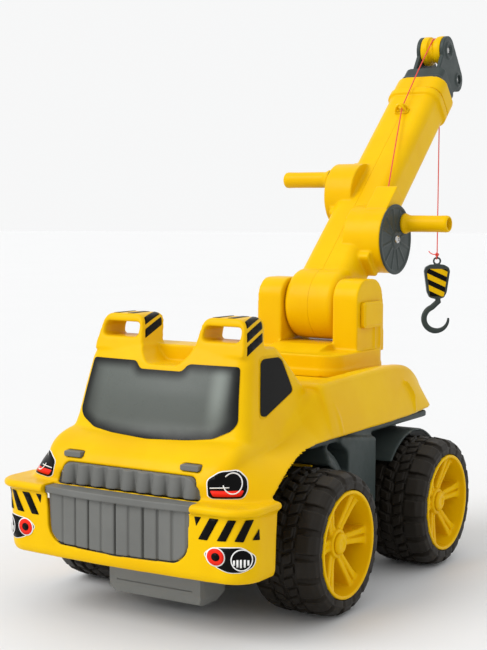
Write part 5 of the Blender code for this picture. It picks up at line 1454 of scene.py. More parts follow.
def from_above(x, y):
    """Project straight down onto the roof bars."""
    return (x, y, 0.40), (0, 0, -1)


def build_bar_stripes(shell):
    """Lay the black stripes across the roof bars' tops and down their +X ends."""
    for label, ends, downs in (("left", (0.0470, 0.0660), (-0.0060, 0.0060, 0.0175)),
                               ("right", (-0.0850, -0.0660), (-0.0060, 0.0060))):
        parts = []
        for x in ends:
            outline = soften([(x + 0.0020, -0.0725), (x + 0.0110, -0.0725), (x + 0.0085, -0.0385),
                              (x - 0.0005, -0.0385)], 0.001, 2)
            parts.append(surface_patch(shell, outline, from_above, 0.004, 0.0001, 0.00025))
        corner = over_corner(0.0905 if label == "left" else -0.0395, 0.3180)
        for down in downs:
            outline = soften([(-0.0735, down + 0.0030), (-0.0420, down - 0.0075), (-0.0420, down + 0.0005),
                              (-0.0735, down + 0.0110)], 0.001, 2)
            parts.append(surface_patch(shell, outline, corner, 0.003, 0.0001, 0.00025))
        finish(join(*parts), "bar_stripes_" + label, "truck", ink())


# ================================================================== chassis
def build_chassis():
    """Build the dark frame with its pods, ridges, mudguards and posts."""
    top, half, wall = RIM_Z - SEAM, CHASSIS_HALF, CHASSIS_WALL
    front, rear = CHASSIS_FRONT_Y, CHASSIS_REAR_Y
    parts = [box(-half, half, front, rear, 0.048, top), box(-0.128, 0.128, 0.004, rear, top - 0.009, top)]
    profile = soften([(POD_FRONT_Y, 0.032), (POD_REAR_Y, 0.032), (POD_REAR_Y, top - 0.014),
                      (0.138, top - 0.012), (0.068, top - 0.002), (0.068, top - 0.010),
                      (POD_FRONT_Y, top - 0.022)], 0.006, 4)
    for side in (1, -1):
        parts.append(sideways(profile, side, 0.080, 0.132))
        for number, grow in enumerate((0.0, 0.007, 0.014)):
            reach = 0.0905 + grow
            outer = arc((0.0, TYRE_RADIUS), reach, -28, 66, 30)
            inner = arc((0.0, TYRE_RADIUS), reach - 0.0068, 66, -28, 30)
            parts.append(sideways(outer + inner, side, 0.080, 0.136 - number * 0.0045))
        guard = (arc((WHEELBASE, TYRE_RADIUS), 0.0885, 40, 140, 30)
                 + arc((WHEELBASE, TYRE_RADIUS), 0.0850, 140, 40, 30))
        parts.append(sideways(guard, side, 0.080, 0.1345))
    body = mould(join(*parts), 0.0022, 2)
    cuts = [box(-half + wall, half - wall, front + wall, rear - wall, 0.0, top - wall)]
    for side in (1, -1):
        edges = sorted((side * (half - 0.006), side * 0.1285))
        cuts.append(box(*edges, POD_FRONT_Y + 0.012, POD_REAR_Y - wall, 0.0, top - 0.040))
    body = cut(body, *cuts)
    ribs = [box(-half + 0.001, half - 0.001, y - 0.0012, y + 0.0012, 0.075, top - 0.002)
            for y in (0.06, 0.12, 0.18)]
    ribs += [box(x - 0.0012, x + 0.0012, 0.030, rear - 0.02, 0.085, top - 0.002) for x in (-0.045, 0.045)]
    tower = lathe([(top - 0.030, 0.0262), (top - 0.030, 0.031), (top - 0.001, 0.031), (top - 0.001, 0.0262)],
                  72)
    body = join(body, *ribs, moved(upright(tower), 0, SLEW_Y, 0))
    well = post(top - 0.05, top + 0.01, 0.0255, (0, SLEW_Y))
    axles = [rod(-0.2, 0.2, 0.0044, (y, TYRE_RADIUS), 40) for y in (0.0, WHEELBASE)]
    body = mould(body, 0.0017, 2)
    body = cut(body, well, *axles)
    finish(body, "frame_moulding", "truck", slate(), ["chassis"], 50)


def build_step():
    """Build the grey block below the bumper."""
    front, back, low, high = -0.112, -0.0625, 0.016, 0.0477
    outline = [(front, high), (front, low + 0.013), (front + 0.004, low + 0.003), (front + 0.014, low),
               (back - 0.008, low), (back, low + 0.008), (back, high)]
    block = prism(outline, "X", -0.0600, 0.0600)
    ends = [prism([(0.0545 * s, low - 0.001), (0.07 * s, low - 0.001), (0.07 * s, low + 0.030)], "Y",
                  front - 0.01, back + 0.01) for s in (1, -1)]
    block = cut(block, *ends)
    groove = box(-0.0500, 0.0500, front - 0.002, front + 0.0012, 0.0335, 0.0352)
    hollow = box(-0.0540, 0.0540, front + 0.006, back - 0.003, low + 0.008, high + 0.01)
    block = cut(mould(block, 0.0008, 3), hollow, groove)
    finish(block, "step_moulding", "truck", step_grey(), ["front_step"], 40)


# ================================================================== wheels
def build_tyre():
    """Return a tyre with a blocky tread, about the origin with its outer face at +X."""
    sizes = bpy.context.scene.crane_sizes
    half = TYRE_WIDTH / 2
    lug_count = sizes.lugs
    up = sizes.lug_height
    outer = [(half - 0.0005, RIM_RADIUS + 0.0006)]
    outer += arc((half - 0.0055, RIM_RADIUS + 0.0052), 0.0048, -20, 60, 5)
    outer += [(half - 0.0010, TYRE_RADIUS - 0.0125), (half - 0.0028, TYRE_RADIUS - 0.0085),
              (half - 0.0070, TYRE_RADIUS - 0.0052 - up * 0.2),
              (half - 0.014, TYRE_RADIUS - 0.0030 - up * 0.5)]
    profile = outer + [(0.0, TYRE_RADIUS - 0.0010 - up)] + [(-x, r) for x, r in reversed(outer)]
    floor = RIM_RADIUS + 0.0034
    well = [(-half - 0.001, floor), (half - 0.004, floor), (half - 0.004, TYRE_RADIUS - 0.013),
            (-half - 0.001, TYRE_RADIUS - 0.013)]
    carcass = cut(lathe(profile, 144), lathe(well, 96))
    pitch = 2 * math.pi / lug_count
    skin = tyre_plastic()
    blocks = []
    for side in (1, -1):
        reach = pitch * 0.36
        shape = [((half + x) * side, TYRE_RADIUS + r)
                 for x, r in ((0.0001, -0.0125), (-0.0018, -0.0052), (-0.0085, -0.0012), (-0.0235, 0.0006))]
        low = [(x * 0.995, r - 0.0065) for x, r in shape]
        loops = []
        for angle in (-reach, -reach * 0.96, reach * 0.96, reach):
            inset = 0.0006 if abs(angle) == reach else 0.0
            loops.append([(x, (r - inset) * math.sin(angle), (r - inset) * math.cos(angle))
                          for x, r in shape + low[::-1]])
        lug = loft(loops)
        blocks.append(ring_of(lug, lug_count, skin, pitch / 2 if side < 0 else 0.0))
        for a0, x0, x1, w in ((0.25, 0.0015, 0.0130, 0.20), (-0.25, 0.0040, 0.0150, 0.16)):
            bar = []
            for angle in (a0 - w, a0 + w):
                turn = angle * pitch
                bar.append([(x * side, r * math.sin(turn + x * 5), r * math.cos(turn + x * 5))
                            for x, r in ((x0, TYRE_RADIUS - 0.009), (x1, TYRE_RADIUS - 0.009),
                                         (x1, TYRE_RADIUS - 0.0004), (x0, TYRE_RADIUS + 0.0004))])
            blocks.append(ring_of(loft(bar), lug_count, skin, 0.0 if side > 0 else pitch * 0.4))
    bead = lathe([(half - 0.0014, RIM_RADIUS + 0.0074), (half + 0.0004, RIM_RADIUS + 0.0080),
                  (half + 0.0004, RIM_RADIUS + 0.0086), (half - 0.0014, RIM_RADIUS + 0.0092)], 144)
    return mould(join(carcass, *blocks, bead), 0.0011, 2)


def build_rim():
    """Return a rim with six grooved spokes, about the origin with its outer face at +X."""
    sizes = bpy.context.scene.crane_sizes
    half = TYRE_WIDTH / 2
    inside = RIM_RADIUS - 0.0042
    hub_face = half - HUB_SET_BACK
    profile = [(-0.036, BORE_RADIUS), (-0.036, HUB_RADIUS - 0.002), (-0.004, HUB_RADIUS), (-0.004, inside),
               (-half, inside), (-half, RIM_RADIUS), (half + 0.0002, RIM_RADIUS),
               (half + 0.0008, RIM_RADIUS - 0.0010), (half + 0.0008, inside + 0.0008),
               (half - 0.0004, inside), (0.002, inside - 0.004), (0.0, inside - 0.006), (0.0, HUB_RADIUS + 0.004),
               (hub_face - 0.008, HUB_RADIUS + 0.0012), (hub_face - 0.001, HUB_RADIUS),
               (hub_face, HUB_RADIUS - 0.001), (hub_face, BORE_RADIUS)]
    rim = lathe(profile, 144)
    spokes = []
    for sign in (1, -1):
        loops = []
        for r, top, width, spread in ((HUB_RADIUS - 0.004, hub_face - 0.0035, 0.0028, 0.0),
                                      (HUB_RADIUS + 0.006, hub_face - 0.0025, 0.0030, 0.0),
                                      (inside - 0.012, half - 0.0100, 0.0036, 0.0010),
                                      (inside + 0.001, half - 0.0070, 0.0050, 0.0024)):
            centre = sign * (0.0036 + spread)
            a, b = centre - width, centre + width
            loops.append([(-0.002, a, r), (top - 0.0012, a, r), (top, a + 0.0012, r), (top, b - 0.0012, r),
                          (top - 0.0012, b, r), (-0.002, b, r)])
        spokes.append(loft(loops))
    floor = loft([[(-0.002, -w, r), (top, -w, r), (top, w, r), (-0.002, w, r)]
                  for r, top, w in ((HUB_RADIUS - 0.003, hub_face - 0.0065, 0.004),
                                    (inside + 0.001, half - 0.0115, 0.007))])
    spokes = ring_of(join(*spokes, floor), sizes.spokes, rim_yellow(), math.radians(30))
    return mould(join(rim, spokes), 0.0009, 3)


def build_hub_cap():
    """Return a short domed cap with a shallow dish, about the origin."""
    start = TYRE_WIDTH / 2 - HUB_SET_BACK + SEAM
    profile = [(start + x, radius) for x, radius in
               ((0, 0), (0, 0.0120), (0.0016, 0.0120), (0.0034, 0.0104), (0.0042, 0.0080), (0.0040, 0.0052),
                (0.0030, 0.0040), (0.0030, 0))]
    return mould(lathe(profile, 96), 0.0005, 3)


def build_wheels():
    """Build the axles and the four wheels."""
    sources = {"tyre": build_tyre(), "rim": build_rim(), "hub_cap": build_hub_cap()}
    skins = {"tyre": tyre_plastic(), "rim": rim_yellow(), "hub_cap": rim_yellow()}
    turns = {"front_left": 0.0, "front_right": 13.0, "rear_left": 7.0, "rear_right": 21.0}
    for end, y in (("front", 0.0), ("rear", WHEELBASE)):
        for side, sign in (("left", 1), ("right", -1)):
            wheel = end + "_" + side
            for part, source in sources.items():
                piece = copy_of(source)
                piece.data.transform(Matrix.Rotation(math.radians(turns[wheel]), 4, "X"))
                if sign < 0:
                    mirror(piece)
                moved(piece, WHEEL_X * sign, y, TYRE_RADIUS)
                finish(piece, wheel + "_" + part + "_piece", wheel + "_wheel", skins[part],
                       [wheel + "_" + part])
        end_x = WHEEL_X + TYRE_WIDTH / 2 - 0.013
        axle = lathe([(-end_x, 0), (-end_x, 0.0034), (-end_x + 0.0006, 0.0040), (end_x - 0.0006, 0.0040),
                      (end_x, 0.0034), (end_x, 0)], 48)
        moved(axle, 0, y, TYRE_RADIUS)
        finish(axle, end + "_axle_rod", "truck", steel(), [end + "_axle"], 40)
    for source in sources.values():
        bpy.data.objects.remove(source, do_unlink=True)


# ================================================================== crane base
def ear_outline():
    """Return an ear of the crane base seen from the side, as (y, z) points."""
    front, back, top = EAR_FRONT_Y, EAR_BACK_Y, EAR_TOP_Z
    low, corner = DECK_Z + 0.0225, 0.026
    return ([(front, low), (back, low), (back - 0.002, top - 0.034)]
            + arc((back - 0.031, top - corner), corner, 5, 90, 12)
            + arc((front + corner, top - corner), corner, 90, 180, 12))


def build_crane_base():
    """Build the pedestal with its ears, ribs, covers, retainer, screw and pin."""
    floor, top, wall = DECK_Z + SEAM, DECK_Z + BASE_HEIGHT, 0.0032
    ear_inner = BOOM_HALF + 0.0005
    saddle_top = PIVOT.z - KNUCKLE_RADIUS - 0.0015

    def footprint(inset, corner):
        half_x, half_y = BASE_HALF_X - inset, BASE_HALF_Y - inset
        return rounded(-half_x, half_x, SLEW_Y - half_y, SLEW_Y + half_y, corner)

    parts = [prism(footprint(0.0, 0.024), "Z", floor, top),
             prism(footprint(-0.0012, 0.025), "Z", floor, floor + 0.0080),
             prism([(SLEW_Y - 0.060, top - 0.002), (EAR_BACK_Y, top - 0.002), (EAR_BACK_Y, saddle_top),
                    (0.2096, saddle_top)], "X", -ear_inner - 0.002, ear_inner + 0.002)]
    for side in (1, -1):
        parts.append(sideways(ear_outline(), side, ear_inner, EAR_OUTER_X))
        for y in (0.2700, 0.2860):
            rib = rounded(y - 0.0016, y + 0.0016, DECK_Z + 0.022, 0.306, 0.0015)
            parts.append(sideways(rib, side, 0.070, 0.0738))
    base = mould(join(*parts), 0.0016, 4)
    cuts = [prism(footprint(wall, 0.021), "Z", floor - 0.01, top - wall),
            prism(rounded(-ear_inner, ear_inner, 0.15, 0.36, 0.004), "Z", saddle_top + 0.0001, 0.40)]
    hollow = [(EAR_FRONT_Y + wall, DECK_Z + 0.01), (EAR_BACK_Y - wall, DECK_Z + 0.01), (0.2960 - wall, 0.316),
              (0.2840, 0.3440), (0.2400, 0.3440), (EAR_FRONT_Y + wall, 0.328)]
    cuts += [sideways(hollow, side, ear_inner + wall, EAR_OUTER_X - wall) for side in (1, -1)]
    base = cut(base, *cuts)
    low, high = RIM_Z - 0.012, top - wall + 0.0005
    spigot = lathe([(low, 0.0022), (low, SPIGOT_RADIUS), (high, SPIGOT_RADIUS), (high, 0.0272),
                    (low + 0.004, 0.0272), (low + 0.004, 0.0022)], 72)
    base = fuse(base, moved(upright(spigot), 0, SLEW_Y, 0))
    base = cut(base, rod(-0.08, 0.08, 0.0054, (PIVOT.y, PIVOT.z), 48))
    finish(base, "pedestal", "crane_base", yellow(), ["crane_base"], 50)
    for side, label in ((1, "left"), (-1, "right")):
        low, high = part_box("pivot_cover_" + label)
        y0, y1, z0, z1 = low.y - SHIFT.y, high.y - SHIFT.y, low.z, high.z
        x0, x1 = sorted((abs(low.x), abs(high.x)))
        cover = prism(rounded(y0, y1, z0, z1, 0.005), "X", x0, x1)
        inset = 0.003
        lip = prism(rounded(y0 + inset, y1 - inset, z0 + inset, z1 - inset, inset), "X", x1 - 0.0012,
                    x1 + 0.0009)
        cover = mould(join(cover, lip), 0.0006, 3)
        if side < 0:
            mirror(cover)
        finish(cover, "cover_" + label, "crane_base", yellow(), ["pivot_cover_" + label], 50)
    build_small_hardware()


def screw(low, shank_end, head_radius, head, shank_radius):
    """Return a cross-slotted pan screw that points up from its head at low."""
    body = lathe([(low, 0), (low + 0.0002, head_radius * 0.7), (low + head * 0.5, head_radius),
                  (low + head, head_radius * 0.98), (low + head, shank_radius),
                  (shank_end - 0.002, shank_radius),
                  (shank_end, shank_radius * 0.4), (shank_end, 0)], 48)
    width, reach = head_radius * 0.16, head_radius * 0.66
    slots = [box(-reach, reach, -width, width, low - 0.01, low + head * 0.45),
             box(-width, width, -reach, reach, low - 0.01, low + head * 0.45)]
    return cut(upright(body), *slots)


def build_small_hardware():
    """Build the screws, the slewing retainer and the boom's pin."""
    for name, body in (("body_screw_1", "truck"), ("body_screw_2", "truck"), ("slew_screw", "crane_base")):
        low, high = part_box(name)
        spot = (low + high) / 2 - SHIFT
        radius = (high.x - low.x) / 2
        piece = screw(low.z, high.z, radius, 0.0022, radius * 0.42)
        finish(moved(piece, spot.x, spot.y, 0), name + "_piece", body, steel(), [name], 35)
    low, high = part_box("slew_retainer")
    ring = lathe([(low.z, 0.0022), (low.z, 0.0235), (low.z + 0.0008, 0.0248), (high.z - 0.0006, 0.0248),
                  (high.z, 0.0240), (high.z, 0.0022)], 96)
    finish(moved(upright(ring), 0, SLEW_Y, 0), "retainer", "crane_base", slate(), ["slew_retainer"],
           40)
    low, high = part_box("boom_pivot_pin")
    radius = (high.z - low.z) / 2
    pin = lathe([(low.x, 0), (low.x, radius - 0.0008), (low.x + 0.0008, radius), (high.x - 0.0008, radius),
                 (high.x, radius - 0.0008), (high.x, 0)], 64, (PIVOT.y, PIVOT.z))
    finish(pin, "pivot_pin", "crane_base", steel(), ["boom_pivot_pin"], 40)


# ================================================================== boom
def half_tube(u0, u1, grow, corner, seam=0.00015):
    """Return half of the boom's beam between two stations, grown outwards."""
    half, low, high = BOOM_HALF + grow, BOOM_LOW_V - grow, BOOM_HIGH_V + grow
    outline = ([(seam, low)] + arc((half - corner, low + corner), corner, -90, 0, 12)
               + arc((half - corner, high - corner), corner, 0, 90, 12) + [(seam, high)])
    return prism(outline, "Y", u0, u1)


def knuckle(radius, half, corner, seam=0.00015):
    """Return half of the round root of the boom."""
    bend = arc((half - corner, radius - corner), corner, 90, 0, 10)
    return lathe([(seam, 0), (seam, radius)] + bend + [(half, 0)], 120)


def fairing(u, face):
    """Return the flat block that joins a crank housing to the boom above and below it."""
    reach, low, high = 0.052, CRANK_V - 0.020, CRANK_V + 0.018
    outline = soften([(u - reach, low), (u + reach, low), (u + reach, high), (u - reach, high)], 0.006)
    return prism(outline, "X", 0.030, min(face - 0.010, 0.050))


def boom_half(winch):
    """Return one finished half of the boom, for the +X side."""
    u, face = (WINCH_U, WINCH_FACE_X) if winch else (EXTEND_U, EXTEND_FACE_X)
    outer_x = face - 0.0031 if winch else face
    parts = [half_tube(0.0, BOOM_END_U, 0.0, BOOM_CORNER, -0.003),
             half_tube(BOOM_END_U - 0.012, BOOM_END_U, 0.004, BOOM_CORNER + 0.004, -0.003),
             knuckle(KNUCKLE_RADIUS, BOOM_HALF, 0.010, -0.003),
             rod(0.010, outer_x, HOUSING_RADIUS, (u, CRANK_V), 120), fairing(u, face)]
    if winch:
        parts.append(box(0.032, outer_x - 0.0008, u + 0.012, 0.165, 0.031, 0.056))
    half = mould(join(*parts), 0.0015, 3)
    wall = BOOM_WALL
    hollow = [half_tube(0.030, BOOM_END_U + 0.01, -wall, BOOM_CORNER - wall, -0.001),
              rod(BOOM_HALF + 0.0006, outer_x + 0.01, HOUSING_RADIUS - 0.0030, (u, CRANK_V), 120),
              rod(0.0, outer_x + 0.01, 0.0052, (u, CRANK_V), 48),
              rod(-0.01, 0.05, 0.0056, (0, 0), 48), box(-0.02, 0.00015, -0.06, 0.42, -0.06, 0.07)]
    if winch:
        hollow.append(box(0.0375, 0.053, u + 0.002, 0.175, 0.0375, 0.050))
    half = cut(half, *hollow)
    if winch:
        half = join(half, rod(BOOM_HALF - 0.0015, BOOM_HALF - SEAM, 0.0085, (EXTEND_U, CRANK_V), 48))
    return half


def build_boom():
    """Build the boom's halves, the cord guide, the inner boom and the boom's head."""
    left = boom_half(True)
    finish(in_boom(left), "boom_half_left", "boom", yellow(), ["boom_left_half"], 50)
    right = mirror(boom_half(False))
    finish(in_boom(right), "boom_half_right", "boom", yellow(), ["boom_right_half"], 50)
    foot = BOOM_HIGH_V + SEAM
    loops = []
    for sign in (1, -1):
        ring = [(0.0078 * math.cos(t), sign * 0.0034 * math.cos(t), foot + 0.0004 + 0.0118 * math.sin(t))
                for t in (math.pi * i / 24 for i in range(25))]
        loops.append(smooth_tube([(x, GUIDE_U + y, v) for x, y, v in ring], 0.0018))
    sole = prism(rounded(-0.0105, 0.0105, GUIDE_U - 0.0060, GUIDE_U + 0.0060, 0.003), "Z", foot,
                 foot + 0.0014)
    guide = mould(join(sole, *loops), 0.0006, 2)
    finish(in_boom(guide), "guide", "boom", yellow(), ["cord_guide"])
    side = BOOM_WALL + 0.0006
    half, corner = BOOM_HALF - side, BOOM_CORNER - side

    def section(shrink, u0, u1):
        return prism(rounded(-half + shrink, half - shrink, BOOM_LOW_V + side + shrink,
                             BOOM_HIGH_V - side - shrink, corner - shrink, 12), "Y", u0, u1)

    flange = mould(prism(rounded(-0.0395, 0.0395, -0.026, 0.037, 0.018, 12), "Y", 0.3983, 0.423), 0.0010, 3)
    tube = fuse(section(0.0, 0.2125, 0.4225), flange)
    tube = cut(tube, section(0.0026, 0.20, 0.44))
    finish(in_boom(tube), "boom_inner", "inner_boom", yellow(), ["inner_boom"], 40)
    build_head()


def hull(first, r1, second, r2, steps=24):
    """Return the outline round two circles, first above second."""
    start = math.degrees(math.atan2(first[1] - second[1], first[0] - second[0])) - 90
    return arc(first, r1, start, start + 180, steps) + arc(second, r2, start + 180, start + 360, steps)


def build_head():
    """Build the dark head with its plate, cheeks and pin rings, the pins and the sheave."""
    plate = prism(rounded(-0.031, 0.031, -0.022, 0.034, 0.007), "Y", 0.4233, 0.447)
    rim = prism(rounded(-0.0322, 0.0322, -0.0232, 0.0352, 0.008), "Y", 0.4233, 0.4285)
    parts = [plate, rim]
    top_pin, low_pin = (SHEAVE_U, SHEAVE_V), (LOWER_PIN_U, LOWER_PIN_V)
    outline = hull(top_pin, 0.021, low_pin, 0.018)
    web = [(0.444, -0.020), (LOWER_PIN_U, LOWER_PIN_V - 0.014), (SHEAVE_U, SHEAVE_V + 0.012), (0.444, 0.030)]
    for side in (1, -1):
        parts += [sideways(outline, side, 0.0155, 0.0215), sideways(web, side, 0.0155, 0.0215)]
        a, b = sorted((0.020 * side, 0.0232 * side))
        for spot, r in ((top_pin, 0.0125), (low_pin, 0.0100)):
            parts.append(lathe([(a, r - 0.0035), (a, r), (b, r), (b, r - 0.0035)], 72, spot))
    head = mould(join(*parts), 0.0010, 3)
    side = BOOM_WALL + 0.0006 + 0.0026 + 0.0003
    plug = prism(rounded(-BOOM_HALF + side, BOOM_HALF - side, BOOM_LOW_V + side, BOOM_HIGH_V - side,
                         BOOM_CORNER - side, 10), "Y", 0.409, 0.4245)
    head = fuse(head, plug)
    cuts = [rod(-0.05, 0.05, 0.0052, spot, 48) for spot in (top_pin, low_pin)]
    cuts += [rod(*ends, 0.0068, spot, 48) for ends in ((0.0212, 0.05), (-0.05, -0.0212))
             for spot in (top_pin, low_pin)]
    cuts.append(box(-0.0155, 0.0155, 0.450, 0.53, -0.06, 0.07))
    head = cut(head, *cuts)
    finish(in_boom(head), "head", "inner_boom", slate(), ["boom_head"], 45)
    for name, spot in (("lower_head_pin", low_pin), ("sheave_pin", top_pin)):
        pin = lathe([(-0.0204, 0), (-0.0204, 0.0040), (-0.0198, 0.0046), (0.0198, 0.0046), (0.0204, 0.0040),
                     (0.0204, 0.0018), (0.0196, 0.0012), (0.0196, 0)], 48, spot)
        finish(in_boom(pin), name + "_piece", "inner_boom", steel(), [name], 40)
    half = 0.0150
    groove = arc((0.0, GROOVE_RADIUS + 0.0058), 0.0060, 200, 340, 12)
    profile = [(-half, 0.0054), (-half, 0.0205), (-half + 0.0010, 0.0213), (-0.0085, 0.0213)]
    profile += groove + [(0.0085, 0.0213), (half - 0.0010, 0.0213), (half, 0.0205), (half, 0.0054)]
    wheel = lathe(profile, 120, top_pin)
    finish(in_boom(wheel), "sheave_wheel", "sheave", yellow(), ["sheave"], 50)


# ================================================================== cranks
def build_crank(side, u, face, length, throw, names, body, handle_body):
    """Build a crank's ribbed disc, screw and handle."""
    sizes = bpy.context.scene.crane_sizes
    back = face - 0.0028
    radius = DISC_RADIUS if side > 0 else INNER_DISC_RADIUS
    profile = [(back, 0.0022), (back, radius - 0.0004), (face - 0.0006, radius),
               (face, radius - 0.0008), (face, radius - 0.0042), (face - 0.0010, radius - 0.0056),
               (face - 0.0010, 0.0130), (face + 0.0004, 0.0105), (face + 0.0004, 0.0022)]
    disc = lathe(profile, 144)
    rib = prism(rounded(-0.0012, 0.0012, 0.014, radius - 0.006, 0.0010), "X", face - 0.0016, face - 0.0001)
    ribs = ring_of(rib, sizes.disc_ribs, slate())
    boss = lathe([(face - 0.0012, 0.0142), (face + 0.0002, 0.0136), (face + 0.0002, 0.0118),
                  (face - 0.0012, 0.0112)], 72)
    moved(boss, 0, throw[0], throw[1])
    disc = mould(join(disc, ribs, boss), 0.00075, 2)
    head = lathe([(face + 0.0006, 0), (face + 0.0006, 0.0052), (face + 0.0022, 0.0050),
                  (face + 0.0034, 0.0036), (face + 0.0037, 0)], 48)
    slot, reach, bottom = 0.0009, 0.0034, face + 0.0024
    head = cut(head, box(bottom, face + 0.02, -reach, reach, -slot, slot),
               box(bottom, face + 0.02, -slot, slot, -reach, reach))
    shank = rod(face - 0.014, face + 0.0007, 0.0019, (0, 0), 40)
    start, end = face + SEAM, face + length
    flare = [(start + 0.0032 + 0.0078 * i / 8, 0.0135 - 0.0025 * math.sin(math.pi / 2 * i / 8))
             for i in range(1, 9)]
    grip = lathe([(start, 0), (start, 0.0128), (start + 0.0009, 0.0135), (start + 0.0032, 0.0135)] + flare
                 + [(end - 0.016, 0.0108), (end - 0.004, 0.0111), (end - 0.0012, 0.0106), (end, 0.0094),
                    (end, 0.0080), (end - 0.0012, 0.0075), (end - 0.050, 0.0075), (end - 0.050, 0)], 96)
    pieces = [(disc, "_disc", body, slate(), "dark_grey", (0, 0)),
              (join(head, shank), "_screw", body, steel(), "steel", (0, 0)),
              (grip, "_handle", handle_body, yellow(), "body_yellow", throw)]
    for piece, part, on, skin, slot_name, spot in pieces:
        if side < 0:
            mirror(piece)
        moved(piece, 0, u + spot[0], CRANK_V + spot[1])
        finish(in_boom(piece), names + part + "_piece", on, skin, [names + part], 45)


def build_drives():
    """Build the winch spool, and keep the telescope's pinion and rack as they are with soft edges."""
    end = WINCH_FACE_X - 0.0031
    inner = BOOM_HALF + 0.0006 + 0.0005
    spool = lathe([(-BOOM_HALF + 0.0012, 0), (-BOOM_HALF + 0.0012, 0.0042), (-BOOM_HALF + 0.002, 0.0048),
                   (inner, 0.0048), (inner, 0.0385), (inner + 0.0006, 0.0390), (inner + 0.0014, 0.0390),
                   (inner + 0.002, 0.0385), (inner + 0.002, 0.0208), (end, 0.0208), (end, 0.0022),
                   (end - 0.014, 0.0022), (end - 0.014, 0)], 96)
    moved(spool, 0, WINCH_U, CRANK_V)
    finish(in_boom(spool), "spool", "winch", grey(), ["winch_drum"], 40)
    for node, body in (("telescope_pinion", "telescope_crank"), ("telescope_rack", "inner_boom")):
        source = NODES[node]
        graph = bpy.context.evaluated_depsgraph_get()
        mesh = bpy.data.meshes.new_from_object(source.evaluated_get(graph))
        mesh.transform(source.matrix_world)
        piece = bpy.data.objects.new(node, mesh)
        bpy.context.scene.collection.objects.link(piece)
        bm = bmesh.new()
        bm.from_mesh(mesh)
        bmesh.ops.remove_doubles(bm, verts=bm.verts, dist=1e-6)
        bmesh.ops.recalc_face_normals(bm, faces=bm.faces)
        bmesh.ops.dissolve_limit(bm, angle_limit=0.01, verts=bm.verts, edges=bm.edges)
        edges = [edge for edge in bm.edges if edge.is_manifold and edge.calc_face_angle(0) > 0.6]
        bmesh.ops.bevel(bm, geom=edges, offset=0.00016, segments=2, affect="EDGES", clamp_overlap=True)
        bm.to_mesh(mesh)
        bm.free()
        mesh.transform(Matrix.Translation(-SHIFT))
        finish(piece, node + "_piece", body, grey(), [node], 40)


# ================================================================== hook
def hook_eye(radius, wire):
    """Return the round ring on top of the hook."""
    bm = bmesh.new()
    verts = []
    for t in (2 * math.pi * i / 48 for i in range(48)):
        spot = Vector((radius * math.cos(t), 0, radius * math.sin(t)))
        out = spot.normalized()
        verts.append([bm.verts.new(spot + out * wire * math.cos(a) + Vector((0, 1, 0)) * wire * math.sin(a))
                      for a in (2 * math.pi * k / 16 for k in range(16))])
    for a, b in zip(verts, verts[1:] + verts[:1]):
        for k in range(16):
            j = (k + 1) % 16
            bm.faces.new((a[k], a[j], b[j], b[k]))
    return mesh_object(bm)


def build_hook():
    """Build the hook with its ring, framed block and bent hook, and its striped inlays."""
    low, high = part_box("cord_knot")
    spot = Vector((0, (low.y + high.y) / 2 - SHIFT.y, low.z - SEAM - 0.005 - 0.0014))
    top, half, inset = -0.0052, 0.005, 0.0034
    bottom = top - 0.052
    right = [(0.010, top), (0.0175, top - 0.004), (0.0195, top - 0.010), (0.0150, bottom + 0.010),
             (0.0110, bottom + 0.002), (0.005, bottom)]
    outline = soften([(-0.010, top)] + right + [(-x, z) for x, z in right[:0:-1]], 0.002)
    right = [(0.0175 - inset, top - 0.003 - inset), (0.0195 - inset, top - 0.010),
             (0.0140 - inset, bottom + inset)]
    inlay = [(-x, z) for x, z in right[1::-1]] + right + [(-right[2][0], right[2][1])]
    inlay = soften(inlay, 0.0015)
    block = prism(outline, "Y", -half, half)
    centre = Vector((0.0, 0.0, bottom - 0.012 - 0.0185))
    spine = [(Vector((0.0005, 0, bottom + 0.003)), 0.0050), (Vector((0.003, 0, bottom - 0.004)), 0.0045)]
    for i in range(25):
        a = math.radians(112 + i * 10.5)
        spine.append((centre + Vector((math.cos(a), 0, math.sin(a))) * 0.0185,
                      0.0044 * (1.0 - 0.62 * max(0, i - 14) / 10)))
    loops = []
    depth = Vector((0, 1, 0))

    def square_round(value):
        return math.copysign(abs(value) ** 0.8, value)

    for number, (point, size) in enumerate(spine):
        along = (spine[min(number + 1, len(spine) - 1)][0] - spine[max(number - 1, 0)][0]).normalized()
        out = depth.cross(along).normalized()
        loops.append([tuple(point + out * size * square_round(math.cos(a))
                            + depth * size * 0.95 * square_round(math.sin(a)))
                      for a in (2 * math.pi * k / 24 for k in range(24))])
    body = mould(join(block, loft(loops), hook_eye(0.005, 0.0014)), 0.00062, 3)
    recess = 0.0009
    body = cut(body, prism(inlay, "Y", -half - 0.01, -half + recess),
               prism(inlay, "Y", half - recess, half + 0.01))
    turn = Matrix.Translation(spot) @ Matrix.Rotation(math.radians(HOOK_TURN), 4, "Z")
    body.data.transform(turn)
    finish(body, "hook_moulding", "hook", slate(), ["hook"], 50)
    build_hook_stripes(bottom, half, inlay, turn)


